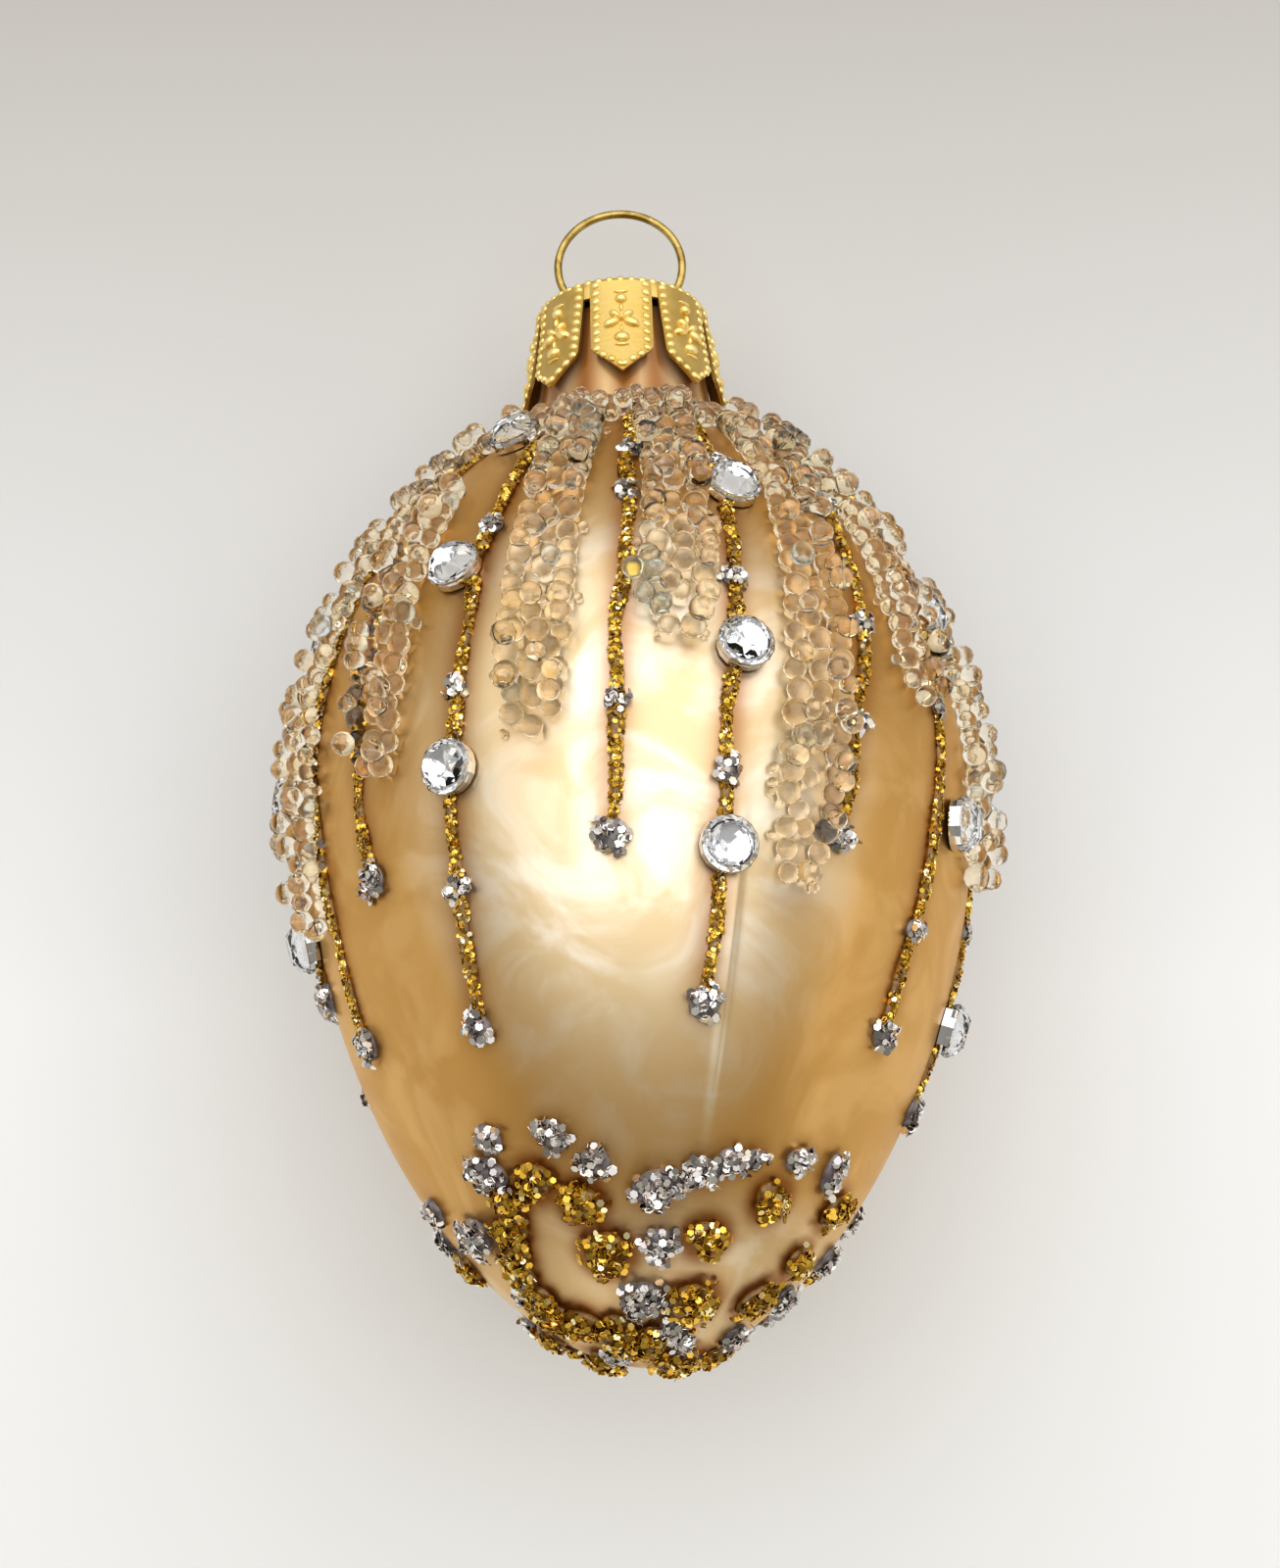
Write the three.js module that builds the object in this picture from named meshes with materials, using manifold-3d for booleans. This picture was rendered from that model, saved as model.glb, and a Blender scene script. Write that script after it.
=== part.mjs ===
// A blown-glass egg ornament, lying on its side: a hollow lacquered glass egg with an open neck, a stamped
// crown cap with eight pointed leaves, a wire ring, and the trimmings that are stuck to the glass, which are
// a collar and fifteen hanging strands of tiny glass balls, and foiled crystal stones on the lines between.
//
// Millimetres. The egg's own frame has +Y along its axis, from the narrow foot to the neck, and azimuth 0
// faces +Z. The whole ornament is then pitched, neck down, to the angle at which it comes to rest.
import * as THREE from 'three';
import { mergeVertices } from 'three/addons/utils/BufferGeometryUtils.js';
import Module from 'manifold-3d';

// ---------- driving dimensions ----------
const EGG_RADIUS = 25;            // at the belly
const FOOT_LENGTH = 41.5;         // from the belly down to the pole of the foot
const FOOT_POWER = 1.75;          // below 2 the foot is more pointed than an ellipse
const SHOULDER_LENGTH = 32.4;      // from the belly up to where the shoulders would close
const SHOULDER_POWER = 1.85;
const NECK_RADIUS = 6.2;          // at its rim
const NECK_BASE_RADIUS = 6.7;
const NECK_BASE = 73;             // where the shoulder has become the neck
const NECK_BLEND = 8;             // higher is a tighter curve between shoulder and neck
const NECK_TOP = 82.6;
const GLASS_WALL = 0.8;
const GLASS_FACETS = 36;          // round the egg

const CAP_TOP = 84.4;
const CAP_TOP_RADIUS = 6.9;
const CAP_TIP = 75.2;
const CAP_TIP_RADIUS = 8.2;
const CAP_FLARE = 1.25;           // above 1 the leaves curve outwards towards their tips
const CAP_SHEET = 0.35;
const CAP_DISC = CAP_TOP - 0.45;  // the sunk disc inside the rolled rim
const CAP_RIM_WIDTH = 1.1;
const LEAVES = 8;
const LEAF_POINT = 2.3;           // height of the pointed end of a leaf
const SLIT_TOP = CAP_TOP - 1.6;   // where the slits between the leaves start
const SLIT_HALF_WIDTH = 0.28;

const WIRE_RADIUS = 0.33;
const WIRE_CLEARANCE = 0.3;
const RING_RADIUS = 5.05;
const RING_HEIGHT = 89.6;         // the ring's centre
const LEG_SPREAD = 2.2;           // each leg's distance from the axis in the cap
const LEG_TOP = CAP_TOP + 0.15;
const LEG_FOOT_SPREAD = 3.8;
const LEG_LENGTH = 9.5;

const STONE_RADIUS = 2.05;
const STONE_TABLE = 1.15;
const STONE_GIRDLE = 0.55;
const STONE_HEIGHT = 1.7;
const STONE_SIDES = 10;

const GLUE_GAP = 0.3;             // between the glass and what is stuck to it
const STONE_GAP = 0.35;
const BEAD_HEIGHT = 2.1;          // a bead strand's crown above the glass
const STRAND_TOP_HALF_WIDTH = 1.55;
const STRAND_END_HALF_WIDTH = 2.1;
const COLLAR_TOP = 71.8;
const COLLAR_BOTTOM = 68.5;
const COLLAR_HEIGHT = 2.0;

const REST_PITCH = 20;            // degrees that the neck dips when the egg lies still
const REST_DEPTH = 0.35;          // how much the two lowest strands are worn flat
const LOWEST_SPREAD = 15;         // degrees: a strand this near azimuth 180 touches the table

// Each bead strand: azimuth at its top and at its end, and the heights of its top and its end.
const STRANDS = [
  [-68, -71, 67.8, 29.5], [-42, -45, 62.5, 37], [-12, -16, 67.8, 36.5], [10, 8, 67.8, 44],
  [35.5, 27, 67.8, 27.5], [56, 54, 67.8, 43], [79, 79, 67.8, 32.5], [101, 101, 67.8, 40],
  [123, 123, 67.8, 33], [146, 146, 67.8, 44], [168.5, 168.5, 67.8, 34], [191.5, 191.5, 67.8, 34],
  [216, 216, 67.8, 43], [240.5, 240.5, 67.8, 31], [265, 265, 67.8, 39],
];

// Each line of stones: azimuth at its top and at its end, then the heights of its stones.
const STONE_LINES = [
  [-84, -84, [55, 42.5, 31]], [-32, -30, [66.4, 52.3, 36.7]], [21, 15, [58.2, 44.1, 30]],
  [67, 66, [53, 36]], [90, 90, [55, 40, 24]], [134.5, 134.5, [58, 45, 32]],
  [204, 204, [56, 42, 29]], [253, 253, [57, 44, 30]],
];

const DEGREE = Math.PI / 180;
const wasm = await Module();
wasm.setup();

// ---------- finishes ----------
const finish = (color, roughness, metalness) =>
  new THREE.MeshStandardMaterial({ color, roughness, metalness });
const pearlLacquer = finish(0xcfaa78, 0.35, 0.6);
const goldFoil = finish(0xc79a3c, 0.35, 0.9);
const brassWire = finish(0xb8964c, 0.3, 1.0);
const clearGlass = finish(0xe9dcc8, 0.1, 0.0);
const crystal = finish(0xf2f2f5, 0.05, 0.1);

// ---------- the egg's outline ----------
const blend = (a, b, t) => a + (b - a) * t;

// Radius of the glass at a height above the pole of the foot.
function glassRadius(height) {
  if (height <= FOOT_LENGTH) {
    const u = (FOOT_LENGTH - height) / FOOT_LENGTH;
    return EGG_RADIUS * (1 - u ** FOOT_POWER) ** (1 / FOOT_POWER);
  }
  const u = Math.min((height - FOOT_LENGTH) / SHOULDER_LENGTH, 1);
  const shoulder = EGG_RADIUS * (1 - u ** SHOULDER_POWER) ** (1 / SHOULDER_POWER);
  const taper = THREE.MathUtils.clamp((height - NECK_BASE) / (NECK_TOP - NECK_BASE), 0, 1);
  const neck = blend(NECK_BASE_RADIUS, NECK_RADIUS, taper);
  return (shoulder ** NECK_BLEND + neck ** NECK_BLEND) ** (1 / NECK_BLEND);
}

// Outward direction of the outline, as [radial, along the axis].
function outlineNormal(height) {
  const step = 0.02;
  const low = Math.max(height - step, 0);
  const rise = glassRadius(height + step) - glassRadius(low);
  const run = height + step - low;
  const length = Math.hypot(rise, run);
  return [run / length, -rise / length];
}

// A point in the egg's frame: height and azimuth on the glass, lifted off it by lift.
function onGlass(height, azimuth, lift) {
  const [radial, along] = outlineNormal(height);
  const radius = glassRadius(height) + lift * radial;
  const angle = azimuth * DEGREE;
  return new THREE.Vector3(radius * Math.sin(angle), height + lift * along, radius * Math.cos(angle));
}

// ---------- solids ----------
function toManifold(geometry) {
  const bare = new THREE.BufferGeometry();
  bare.setAttribute('position', geometry.getAttribute('position').clone());
  if (geometry.index) bare.setIndex(geometry.index.clone());
  const merged = mergeVertices(bare, 1e-4);
  return new wasm.Manifold(new wasm.Mesh({
    numProp: 3,
    vertProperties: new Float32Array(merged.getAttribute('position').array),
    triVerts: new Uint32Array(merged.index.array),
  }));
}

function fromManifold(solid) {
  const mesh = solid.getMesh();
  const geometry = new THREE.BufferGeometry();
  geometry.setAttribute('position', new THREE.BufferAttribute(new Float32Array(mesh.vertProperties), 3));
  geometry.setIndex(new THREE.BufferAttribute(new Uint32Array(mesh.triVerts), 1));
  return geometry;
}

const group = new THREE.Group();
group.name = 'egg_ornament';

function addMesh(name, geometry, material) {
  const mesh = new THREE.Mesh(geometry, material);
  mesh.name = name;
  group.add(mesh);
}

const point = (radius, height) => new THREE.Vector2(radius, height);

// ---------- the blown glass ----------
// Stations crowd towards the pole, where the outline curves most.
function glassEgg() {
  const footStations = 11;
  const shoulderStations = 10;
  const outer = [point(0, 0)];
  for (let i = 1; i <= footStations; i += 1) {
    const height = FOOT_LENGTH * (i / footStations) ** 1.7;
    outer.push(point(glassRadius(height), height));
  }
  const shoulderEnd = FOOT_LENGTH + SHOULDER_LENGTH + 1;
  for (let i = 1; i <= shoulderStations; i += 1) {
    const height = blend(FOOT_LENGTH, shoulderEnd, 1 - (1 - i / shoulderStations) ** 1.35);
    outer.push(point(glassRadius(height), height));
  }
  const rim = [point(NECK_RADIUS, NECK_TOP), point(NECK_RADIUS - GLASS_WALL, NECK_TOP)];
  const inner = [];
  const innerStations = 12;
  for (let i = 0; i < innerStations; i += 1) {
    const height = blend(shoulderEnd, 0, (i / innerStations) ** 0.75);
    const [radial, along] = outlineNormal(height);
    inner.push(point(glassRadius(height) - GLASS_WALL * radial, height - GLASS_WALL * along));
  }
  inner.push(point(0, GLASS_WALL));
  return new THREE.LatheGeometry([...outer, ...rim, ...inner], GLASS_FACETS);
}
addMesh('glass_egg', glassEgg(), pearlLacquer);

// ---------- the crown cap ----------
// A spun cup with a rolled top edge, notched between the leaves and pierced for the ring's legs.
function crownCap() {
  const disc = [point(0, CAP_DISC), point(CAP_TOP_RADIUS - CAP_RIM_WIDTH, CAP_DISC)];
  const rim = [
    point(CAP_TOP_RADIUS - 0.75, CAP_TOP), point(CAP_TOP_RADIUS - 0.25, CAP_TOP),
    point(CAP_TOP_RADIUS, CAP_TOP - 0.35),
  ];
  const skirt = [];
  const skirtSteps = 3;
  for (let i = 0; i <= skirtSteps; i += 1) {
    const t = i / skirtSteps;
    const radius = blend(CAP_TOP_RADIUS + 0.05, CAP_TIP_RADIUS, t ** CAP_FLARE);
    skirt.push(point(radius, blend(CAP_TOP - 0.9, CAP_TIP - 0.4, t)));
  }
  const inside = skirt.map((p) => point(p.x - CAP_SHEET, p.y)).reverse();
  const ceiling = [
    point(CAP_TOP_RADIUS - CAP_SHEET - 0.25, CAP_DISC - CAP_SHEET), point(0, CAP_DISC - CAP_SHEET),
  ];
  const profile = [...disc, ...rim, ...skirt, ...inside, ...ceiling].reverse();
  let cap = toManifold(new THREE.LatheGeometry(profile, 5 * LEAVES));

  const halfPitch = CAP_TIP_RADIUS * Math.sin(Math.PI / LEAVES);
  const corner = CAP_TIP + LEAF_POINT;
  const below = CAP_TIP - 2;
  const notch = new THREE.Shape([
    point(0, SLIT_TOP), point(-SLIT_HALF_WIDTH, corner), point(-halfPitch, CAP_TIP),
    point(-halfPitch, below), point(halfPitch, below), point(halfPitch, CAP_TIP),
    point(SLIT_HALF_WIDTH, corner),
  ]);
  const cutter = new THREE.ExtrudeGeometry(notch, { depth: 5, bevelEnabled: false });
  cutter.translate(0, 0, CAP_TOP_RADIUS - 1.7);
  for (let i = 0; i < LEAVES; i += 1) {
    const turned = cutter.clone().rotateY((i + 0.5) * (2 * Math.PI / LEAVES));
    cap = cap.subtract(toManifold(turned));
  }
  for (const side of [-1, 1]) {
    const radius = WIRE_RADIUS + WIRE_CLEARANCE;
    const hole = new THREE.CylinderGeometry(radius, radius, 3, 12);
    hole.translate(side * LEG_SPREAD, CAP_TOP - 0.5, 0);
    cap = cap.subtract(toManifold(hole));
  }
  return fromManifold(cap);
}
addMesh('crown_cap', crownCap(), goldFoil);

// ---------- the wire ring ----------
// One wire: two spring legs inside the neck, up through the cap, and round in a ring in the X-Y plane.
function hangerLoop() {
  const half = [
    new THREE.Vector3(LEG_FOOT_SPREAD, LEG_TOP - LEG_LENGTH, 0),
    new THREE.Vector3(LEG_SPREAD + 0.35, LEG_TOP - 4, 0),
    new THREE.Vector3(LEG_SPREAD, LEG_TOP - 1.2, 0),
    new THREE.Vector3(LEG_SPREAD, LEG_TOP, 0),
  ];
  const arcStart = -58;
  const arcSteps = 8;
  for (let i = 0; i < arcSteps; i += 1) {
    const angle = blend(arcStart, 90, i / arcSteps) * DEGREE;
    const rise = RING_RADIUS * Math.sin(angle);
    half.push(new THREE.Vector3(RING_RADIUS * Math.cos(angle), RING_HEIGHT + rise, 0));
  }
  const crown = new THREE.Vector3(0, RING_HEIGHT + RING_RADIUS, 0);
  const other = half.map((p) => new THREE.Vector3(-p.x, p.y, 0)).reverse();
  const path = new THREE.CatmullRomCurve3([...half, crown, ...other], false, 'centripetal');
  const section = new THREE.Shape();
  section.absarc(0, 0, WIRE_RADIUS, 0, 2 * Math.PI);
  return new THREE.ExtrudeGeometry(section, { steps: 40, curveSegments: 4, extrudePath: path });
}
addMesh('hanger_loop', hangerLoop(), brassWire);

// ---------- the bead strands ----------
// A box of 4 by n cells is wrapped onto the glass: its width widens down the strand, its ends are rounded
// and its crown is arched, with a slow swell where the balls bunch.
function beadStrand([topAzimuth, endAzimuth, top, end], order) {
  const cells = 9;
  const box = new THREE.BoxGeometry(2, 1, 1, 4, cells, 1);
  const position = box.getAttribute('position');
  for (let i = 0; i < position.count; i += 1) {
    const across = position.getX(i);
    const along = 0.5 - position.getY(i);
    const raised = position.getZ(i) > 0;
    const roundEnd = (1 - Math.abs(2 * along - 1) ** 5) ** 0.5;
    const halfWidth = blend(STRAND_TOP_HALF_WIDTH, STRAND_END_HALF_WIDTH, along) * (0.35 + 0.65 * roundEnd)
      * (1 + 0.05 * Math.sin(7 * along + order));
    const height = blend(top, end, along);
    const azimuth = blend(topAzimuth, endAzimuth, along)
      + across * halfWidth / glassRadius(height) / DEGREE;
    const crown = BEAD_HEIGHT * (0.55 + 0.45 * Math.sqrt(1 - 0.9 * across * across)) * (0.7 + 0.3 * roundEnd);
    const spot = onGlass(height, azimuth, raised ? crown : GLUE_GAP);
    position.setXYZ(i, spot.x, spot.y, spot.z);
  }
  return box;
}

// The table in the egg's frame: the lowest strands are cut off along it, so the ornament doesn't roll.
const pitch = REST_PITCH * DEGREE;
const isLowest = ([azimuth]) => Math.abs(azimuth - 180) < LOWEST_SPREAD;

function tableDepth() {
  const [azimuth, , top, end] = STRANDS.find(isLowest);
  let deepest = 0;
  for (let height = end; height < top; height += 0.1) {
    const spot = onGlass(height, azimuth, BEAD_HEIGHT);
    deepest = Math.max(deepest, spot.y * Math.sin(pitch) - spot.z * Math.cos(pitch));
  }
  return deepest - REST_DEPTH;
}

function belowTable() {
  const thickness = 20;
  const slab = new THREE.BoxGeometry(80, 120, thickness);
  slab.translate(0, 0, -tableDepth() - thickness / 2);
  slab.rotateX(pitch);
  return toManifold(slab);
}
const table = belowTable();

STRANDS.forEach((strand, order) => {
  let geometry = beadStrand(strand, order);
  if (isLowest(strand)) geometry = fromManifold(toManifold(geometry).subtract(table));
  const name = `bead_strand_${String(order + 1).padStart(2, '0')}`;
  addMesh(name, geometry, clearGlass);
});

// ---------- the bead collar ----------
// A ring of balls round the foot of the neck, arched in section, its lower edge a little scalloped.
function beadCollar() {
  const section = [
    [COLLAR_BOTTOM, GLUE_GAP], [COLLAR_BOTTOM, 0.6 * COLLAR_HEIGHT],
    [blend(COLLAR_BOTTOM, COLLAR_TOP, 0.3), COLLAR_HEIGHT],
    [blend(COLLAR_BOTTOM, COLLAR_TOP, 0.7), COLLAR_HEIGHT],
    [COLLAR_TOP, 0.65 * COLLAR_HEIGHT], [COLLAR_TOP, GLUE_GAP],
    [blend(COLLAR_BOTTOM, COLLAR_TOP, 0.5), GLUE_GAP],
  ];
  const profile = section.map(([height, lift]) => {
    const spot = onGlass(height, 90, lift);
    return point(spot.x, spot.y);
  });
  profile.push(profile[0].clone());
  return new THREE.LatheGeometry(profile, GLASS_FACETS);
}
addMesh('bead_collar', beadCollar(), clearGlass);

// ---------- the crystal stones ----------
// A flat-backed cut: a girdle, sloping crown facets and a flat table, set square to the glass.
function crystalStone(height, azimuth) {
  const profile = [point(0, 0), point(STONE_RADIUS, 0), point(STONE_RADIUS, STONE_GIRDLE),
    point(STONE_TABLE, STONE_HEIGHT), point(0, STONE_HEIGHT)];
  const geometry = new THREE.LatheGeometry(profile, STONE_SIDES);
  const seat = onGlass(height, azimuth, STONE_GAP);
  const outward = onGlass(height, azimuth, 2).sub(seat).normalize();
  geometry.applyQuaternion(new THREE.Quaternion().setFromUnitVectors(new THREE.Vector3(0, 1, 0), outward));
  return geometry.translate(seat.x, seat.y, seat.z);
}
let stoneCount = 0;
for (const [topAzimuth, endAzimuth, heights] of STONE_LINES) {
  heights.forEach((height, i) => {
    const azimuth = blend(topAzimuth, endAzimuth, i / (heights.length - 1));
    stoneCount += 1;
    const name = `crystal_stone_${String(stoneCount).padStart(2, '0')}`;
    addMesh(name, crystalStone(height, azimuth), crystal);
  });
}

// ---------- the resting pose ----------
// Neck down by the pitch, then the middle of the box's underside is brought to the origin.
group.rotation.x = -pitch;
group.updateMatrixWorld(true);
const box = new THREE.Box3().setFromObject(group, true);
group.position.set(-(box.min.x + box.max.x) / 2, -(box.min.y + box.max.y) / 2, -box.min.z);
group.updateMatrixWorld(true);

export default group;
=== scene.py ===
# %% [markdown]
# # A blown-glass egg ornament, lying on its side
#
# The real thing is an egg of thin blown glass, brushed with pearly champagne lacquer. A stamped crown cap
# grips its neck and carries a wire ring. Fine gold glitter runs down from the neck in lines, with silver
# dots and foiled crystal stones on them, and tiny glass balls hang between the lines in strands.
#
# The sizes and places come from the frame, which is loaded first. Each piece is then modelled by itself.

# %% Tools and the frame
import math

import bmesh
import bpy
import numpy as np
from mathutils import Matrix, Vector


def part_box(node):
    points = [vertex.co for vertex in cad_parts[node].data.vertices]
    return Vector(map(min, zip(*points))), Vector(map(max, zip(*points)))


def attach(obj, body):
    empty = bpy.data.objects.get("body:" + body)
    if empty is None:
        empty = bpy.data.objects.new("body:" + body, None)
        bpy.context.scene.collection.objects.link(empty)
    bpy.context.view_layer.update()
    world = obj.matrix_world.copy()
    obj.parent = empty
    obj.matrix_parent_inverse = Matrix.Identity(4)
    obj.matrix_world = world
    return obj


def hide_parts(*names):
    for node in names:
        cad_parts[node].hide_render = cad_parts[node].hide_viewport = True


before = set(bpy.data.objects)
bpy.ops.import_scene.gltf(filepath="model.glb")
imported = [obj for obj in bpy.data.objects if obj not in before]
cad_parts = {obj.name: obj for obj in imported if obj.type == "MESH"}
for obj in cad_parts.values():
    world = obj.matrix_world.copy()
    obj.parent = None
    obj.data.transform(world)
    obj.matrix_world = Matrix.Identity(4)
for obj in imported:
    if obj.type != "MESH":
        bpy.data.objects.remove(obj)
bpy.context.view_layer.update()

# %% [markdown]
# ## The egg's own frame
#
# Everything on the glass is placed by two numbers, as on a globe: a height along the axis, from the pole of
# the foot, and an azimuth round it. The outline is two curves that meet at the belly, each a little more
# pointed than an ellipse, and the shoulder turns into the neck by a soft maximum of the two radii.

# %% The outline of the glass
MM = 0.001
EGG_RADIUS = 25 * MM
FOOT_LENGTH = 41.5 * MM
FOOT_POWER = 1.75
SHOULDER_LENGTH = 32.4 * MM
SHOULDER_POWER = 1.85
NECK_RADIUS = 6.2 * MM
NECK_BASE_RADIUS = 7.2 * MM
NECK_BASE = 73 * MM
NECK_BLEND = 8
NECK_TOP = 82.6 * MM
GLASS_WALL = 0.8 * MM


def glass_radius(height):
    """Radius of the glass at each height above the pole of the foot."""
    height = np.asarray(height, float)
    low = np.clip((FOOT_LENGTH - height) / FOOT_LENGTH, 0, 1)
    high = np.clip((height - FOOT_LENGTH) / SHOULDER_LENGTH, 0, 1)
    foot = EGG_RADIUS * (1 - low**FOOT_POWER) ** (1 / FOOT_POWER)
    shoulder = EGG_RADIUS * (1 - high**SHOULDER_POWER) ** (1 / SHOULDER_POWER)
    taper = np.clip((height - NECK_BASE) / (NECK_TOP - NECK_BASE), 0, 1)
    neck = NECK_BASE_RADIUS + (NECK_RADIUS - NECK_BASE_RADIUS) * taper
    joined = (shoulder**NECK_BLEND + neck**NECK_BLEND) ** (1 / NECK_BLEND)
    return np.where(height <= FOOT_LENGTH, foot, joined)


def outline_normal(height):
    """Outward direction of the outline at each height: its radial and its axial part."""
    step = 0.02 * MM
    low = np.maximum(height - step, 0)
    rise = glass_radius(height + step) - glass_radius(low)
    run = height + step - low
    length = np.hypot(rise, run)
    return run / length, -rise / length


def on_glass(height, azimuth, lift=0.0):
    """Points over the glass, in the egg's frame: Y is the axis and azimuth 0, in degrees, faces +Z."""
    height, azimuth, lift = np.broadcast_arrays(height, np.radians(azimuth), lift)
    radial, axial = outline_normal(height)
    radius = glass_radius(height) + lift * radial
    return np.stack([radius * np.sin(azimuth), height + lift * axial, radius * np.cos(azimuth)], -1)


# Walking down the outline from the neck: the height reached after each distance.
WALK_HEIGHTS = np.linspace(NECK_TOP, 0, 4000)
WALK_STEPS = np.hypot(np.diff(WALK_HEIGHTS), np.diff(glass_radius(WALK_HEIGHTS)))
WALK_LENGTHS = np.concatenate([[0], np.cumsum(WALK_STEPS)])


def walk_of(height):
    """Distance walked down the outline from the neck's top to a height."""
    return np.interp(-np.asarray(height, float), -WALK_HEIGHTS, WALK_LENGTHS)


def height_of(walk):
    """Height reached by walking a distance down the outline."""
    return np.interp(walk, WALK_LENGTHS, WALK_HEIGHTS)


# %% [markdown]
# ## Laying the egg down
#
# Loose, it lies on its belly with the neck dipping by 20 degrees, which is where its weight settles. REST
# turns the egg's frame to that pose, and its place is found by matching the glass to the box of the CAD
# glass.

# %% The resting place
REST_PITCH = math.radians(20)
turn = Matrix.Rotation(-REST_PITCH, 4, "X")
grid_heights, grid_azimuths = np.meshgrid(np.linspace(0, NECK_TOP, 400), np.linspace(0, 360, 181))
shell = on_glass(grid_heights, grid_azimuths).reshape(-1, 3) @ np.array(turn.to_3x3()).T
cad_low, cad_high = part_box("glass_egg")
shift = (Vector(cad_low) + Vector(cad_high)) / 2 - Vector((shell.min(0) + shell.max(0)) / 2)
REST = Matrix.Translation(shift) @ turn
REST_TURN = np.array(REST.to_3x3())
print("the pole of the foot lies at", [round(c / MM, 2) for c in REST.translation])


def to_rest(points):
    """Points in the egg's frame, carried to where the egg lies."""
    return points @ REST_TURN.T + np.array(REST.translation)


def to_egg(points):
    """Points where the egg lies, carried back to the egg's frame."""
    return (points - np.array(REST.translation)) @ REST_TURN


# %% [markdown]
# ## Camera and light
#
# The camera looks almost straight down. The chief light is a big, slightly cool window box beyond the neck,
# which gives the belly its broad creamy highlight. Three low bands brighten the flanks and the near side, and
# the room is dim and a little warm, so that the foot's upper side stays deep gold.

# %% Camera
def add_object(name, data):
    """A new object in the scene that shows this data."""
    made = bpy.data.objects.new(name, data)
    bpy.context.collection.objects.link(made)
    return made


LENS = 67.5
CAMERA_DISTANCE = 222 * MM
AIM_HEIGHT = 44 * MM
VIEW_FROM_BELOW = math.radians(22.5)
ROLL = math.radians(1.7)
AIM_ASIDE = 0.37 * MM

aim = REST @ Vector((0, AIM_HEIGHT, 0)) + Vector((AIM_ASIDE, 0, 0))
back = (REST.to_3x3() @ Vector((0, -math.sin(VIEW_FROM_BELOW), math.cos(VIEW_FROM_BELOW)))).normalized()
camera_data = bpy.data.cameras.new("camera")
camera_data.lens = LENS
camera_data.clip_start = 10 * MM
camera = add_object("camera", camera_data)
up = (Vector((0, 1, 0)) - back * back.y).normalized()
right = up.cross(back)
leaning_up = up * math.cos(ROLL) + right * math.sin(ROLL)
leaning_right = right * math.cos(ROLL) - up * math.sin(ROLL)
axes = Matrix((leaning_right, leaning_up, back)).transposed().to_4x4()
camera.matrix_world = Matrix.Translation(aim + back * CAMERA_DISTANCE) @ axes
bpy.context.scene.camera = camera


# %% Light
LIGHT_TARGET = Vector((0, 0, 0.02))
COOL_WHITE = (1.0, 1.0, 1.04)
WARM_WHITE = (1.0, 0.95, 0.85)
ROOM_LIGHT = 0.32


def soft_box(name, place, size, power, colour):
    """An area light of a given size, in metres, turned towards the egg."""
    data = bpy.data.lights.new(name, "AREA")
    data.shape = "RECTANGLE"
    data.size, data.size_y = size
    data.energy = power
    data.color = colour
    light = add_object(name, data)
    light.location = place
    light.rotation_euler = (LIGHT_TARGET - Vector(place)).to_track_quat("-Z", "Y").to_euler()


soft_box("window_box", (0.02, 0.31, 0.42), (1.02, 0.9), 3.95, COOL_WHITE)
for side, x, y, power in (("left", -0.6, 0.0, 0.36), ("right", 0.6, 0.0, 0.5), ("near", 0.0, -0.6, 0.6)):
    soft_box(side + "_band", (x, y, 0.17), (0.9, 0.25), power, WARM_WHITE)
world = bpy.data.worlds.new("dim_room")
bpy.context.scene.world = world
world.use_nodes = True
room = world.node_tree.nodes["Background"].inputs
room["Color"].default_value = (*WARM_WHITE, 1)
room["Strength"].default_value = ROOM_LIGHT
bpy.context.scene.view_settings.view_transform = "Standard"
bpy.context.scene.view_settings.look = "Medium High Contrast"


# %% [markdown]
# ## Node groups that several finishes share
#
# Lacquer, foil, wire and floor all have cloudy unevenness, so that is one group, mottle, which reads Object
# coordinates and puts out a mask. A second, grain, puts out a finely uneven normal. A third, flake tint,
# gives each glitter flake its own shade from a number stored on the flake.

# %% Small helpers for nodes
def fill(tree, node, **sockets):
    """Gives each named input of a node a value or another node's output. A _ stands for a space."""
    for name, value in sockets.items():
        socket = node.inputs[name.replace("_", " ")]
        if isinstance(value, bpy.types.NodeSocket):
            tree.links.new(value, socket)
        else:
            socket.default_value = value
    return node


def add_node(tree, kind, **sockets):
    """A new node with its inputs filled."""
    return fill(tree, tree.nodes.new(kind), **sockets)


def mix_colours(tree, factor, first, second):
    """A colour between two, each a colour or another node's output, by a mask."""
    node = tree.nodes.new("ShaderNodeMix")
    node.data_type = "RGBA"
    return fill(tree, node, Factor=factor, A=first, B=second).outputs["Result"]


def spread_value(tree, mask, low, high):
    """A value that runs from low, a number or another node's output, to high as a mask runs from 0 to 1."""
    return add_node(tree, "ShaderNodeMapRange", Value=mask, To_Min=low, To_Max=high).outputs["Result"]


def attribute_mask(tree, name):
    """A number stored on the mesh, as a mask."""
    node = tree.nodes.new("ShaderNodeAttribute")
    node.attribute_name = name
    return node.outputs["Fac"]


def noise_mask(tree, **sockets):
    """Cloudy noise in Object coordinates."""
    place = tree.nodes.new("ShaderNodeTexCoord").outputs["Object"]
    return add_node(tree, "ShaderNodeTexNoise", Vector=place, **sockets).outputs["Fac"]


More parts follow.
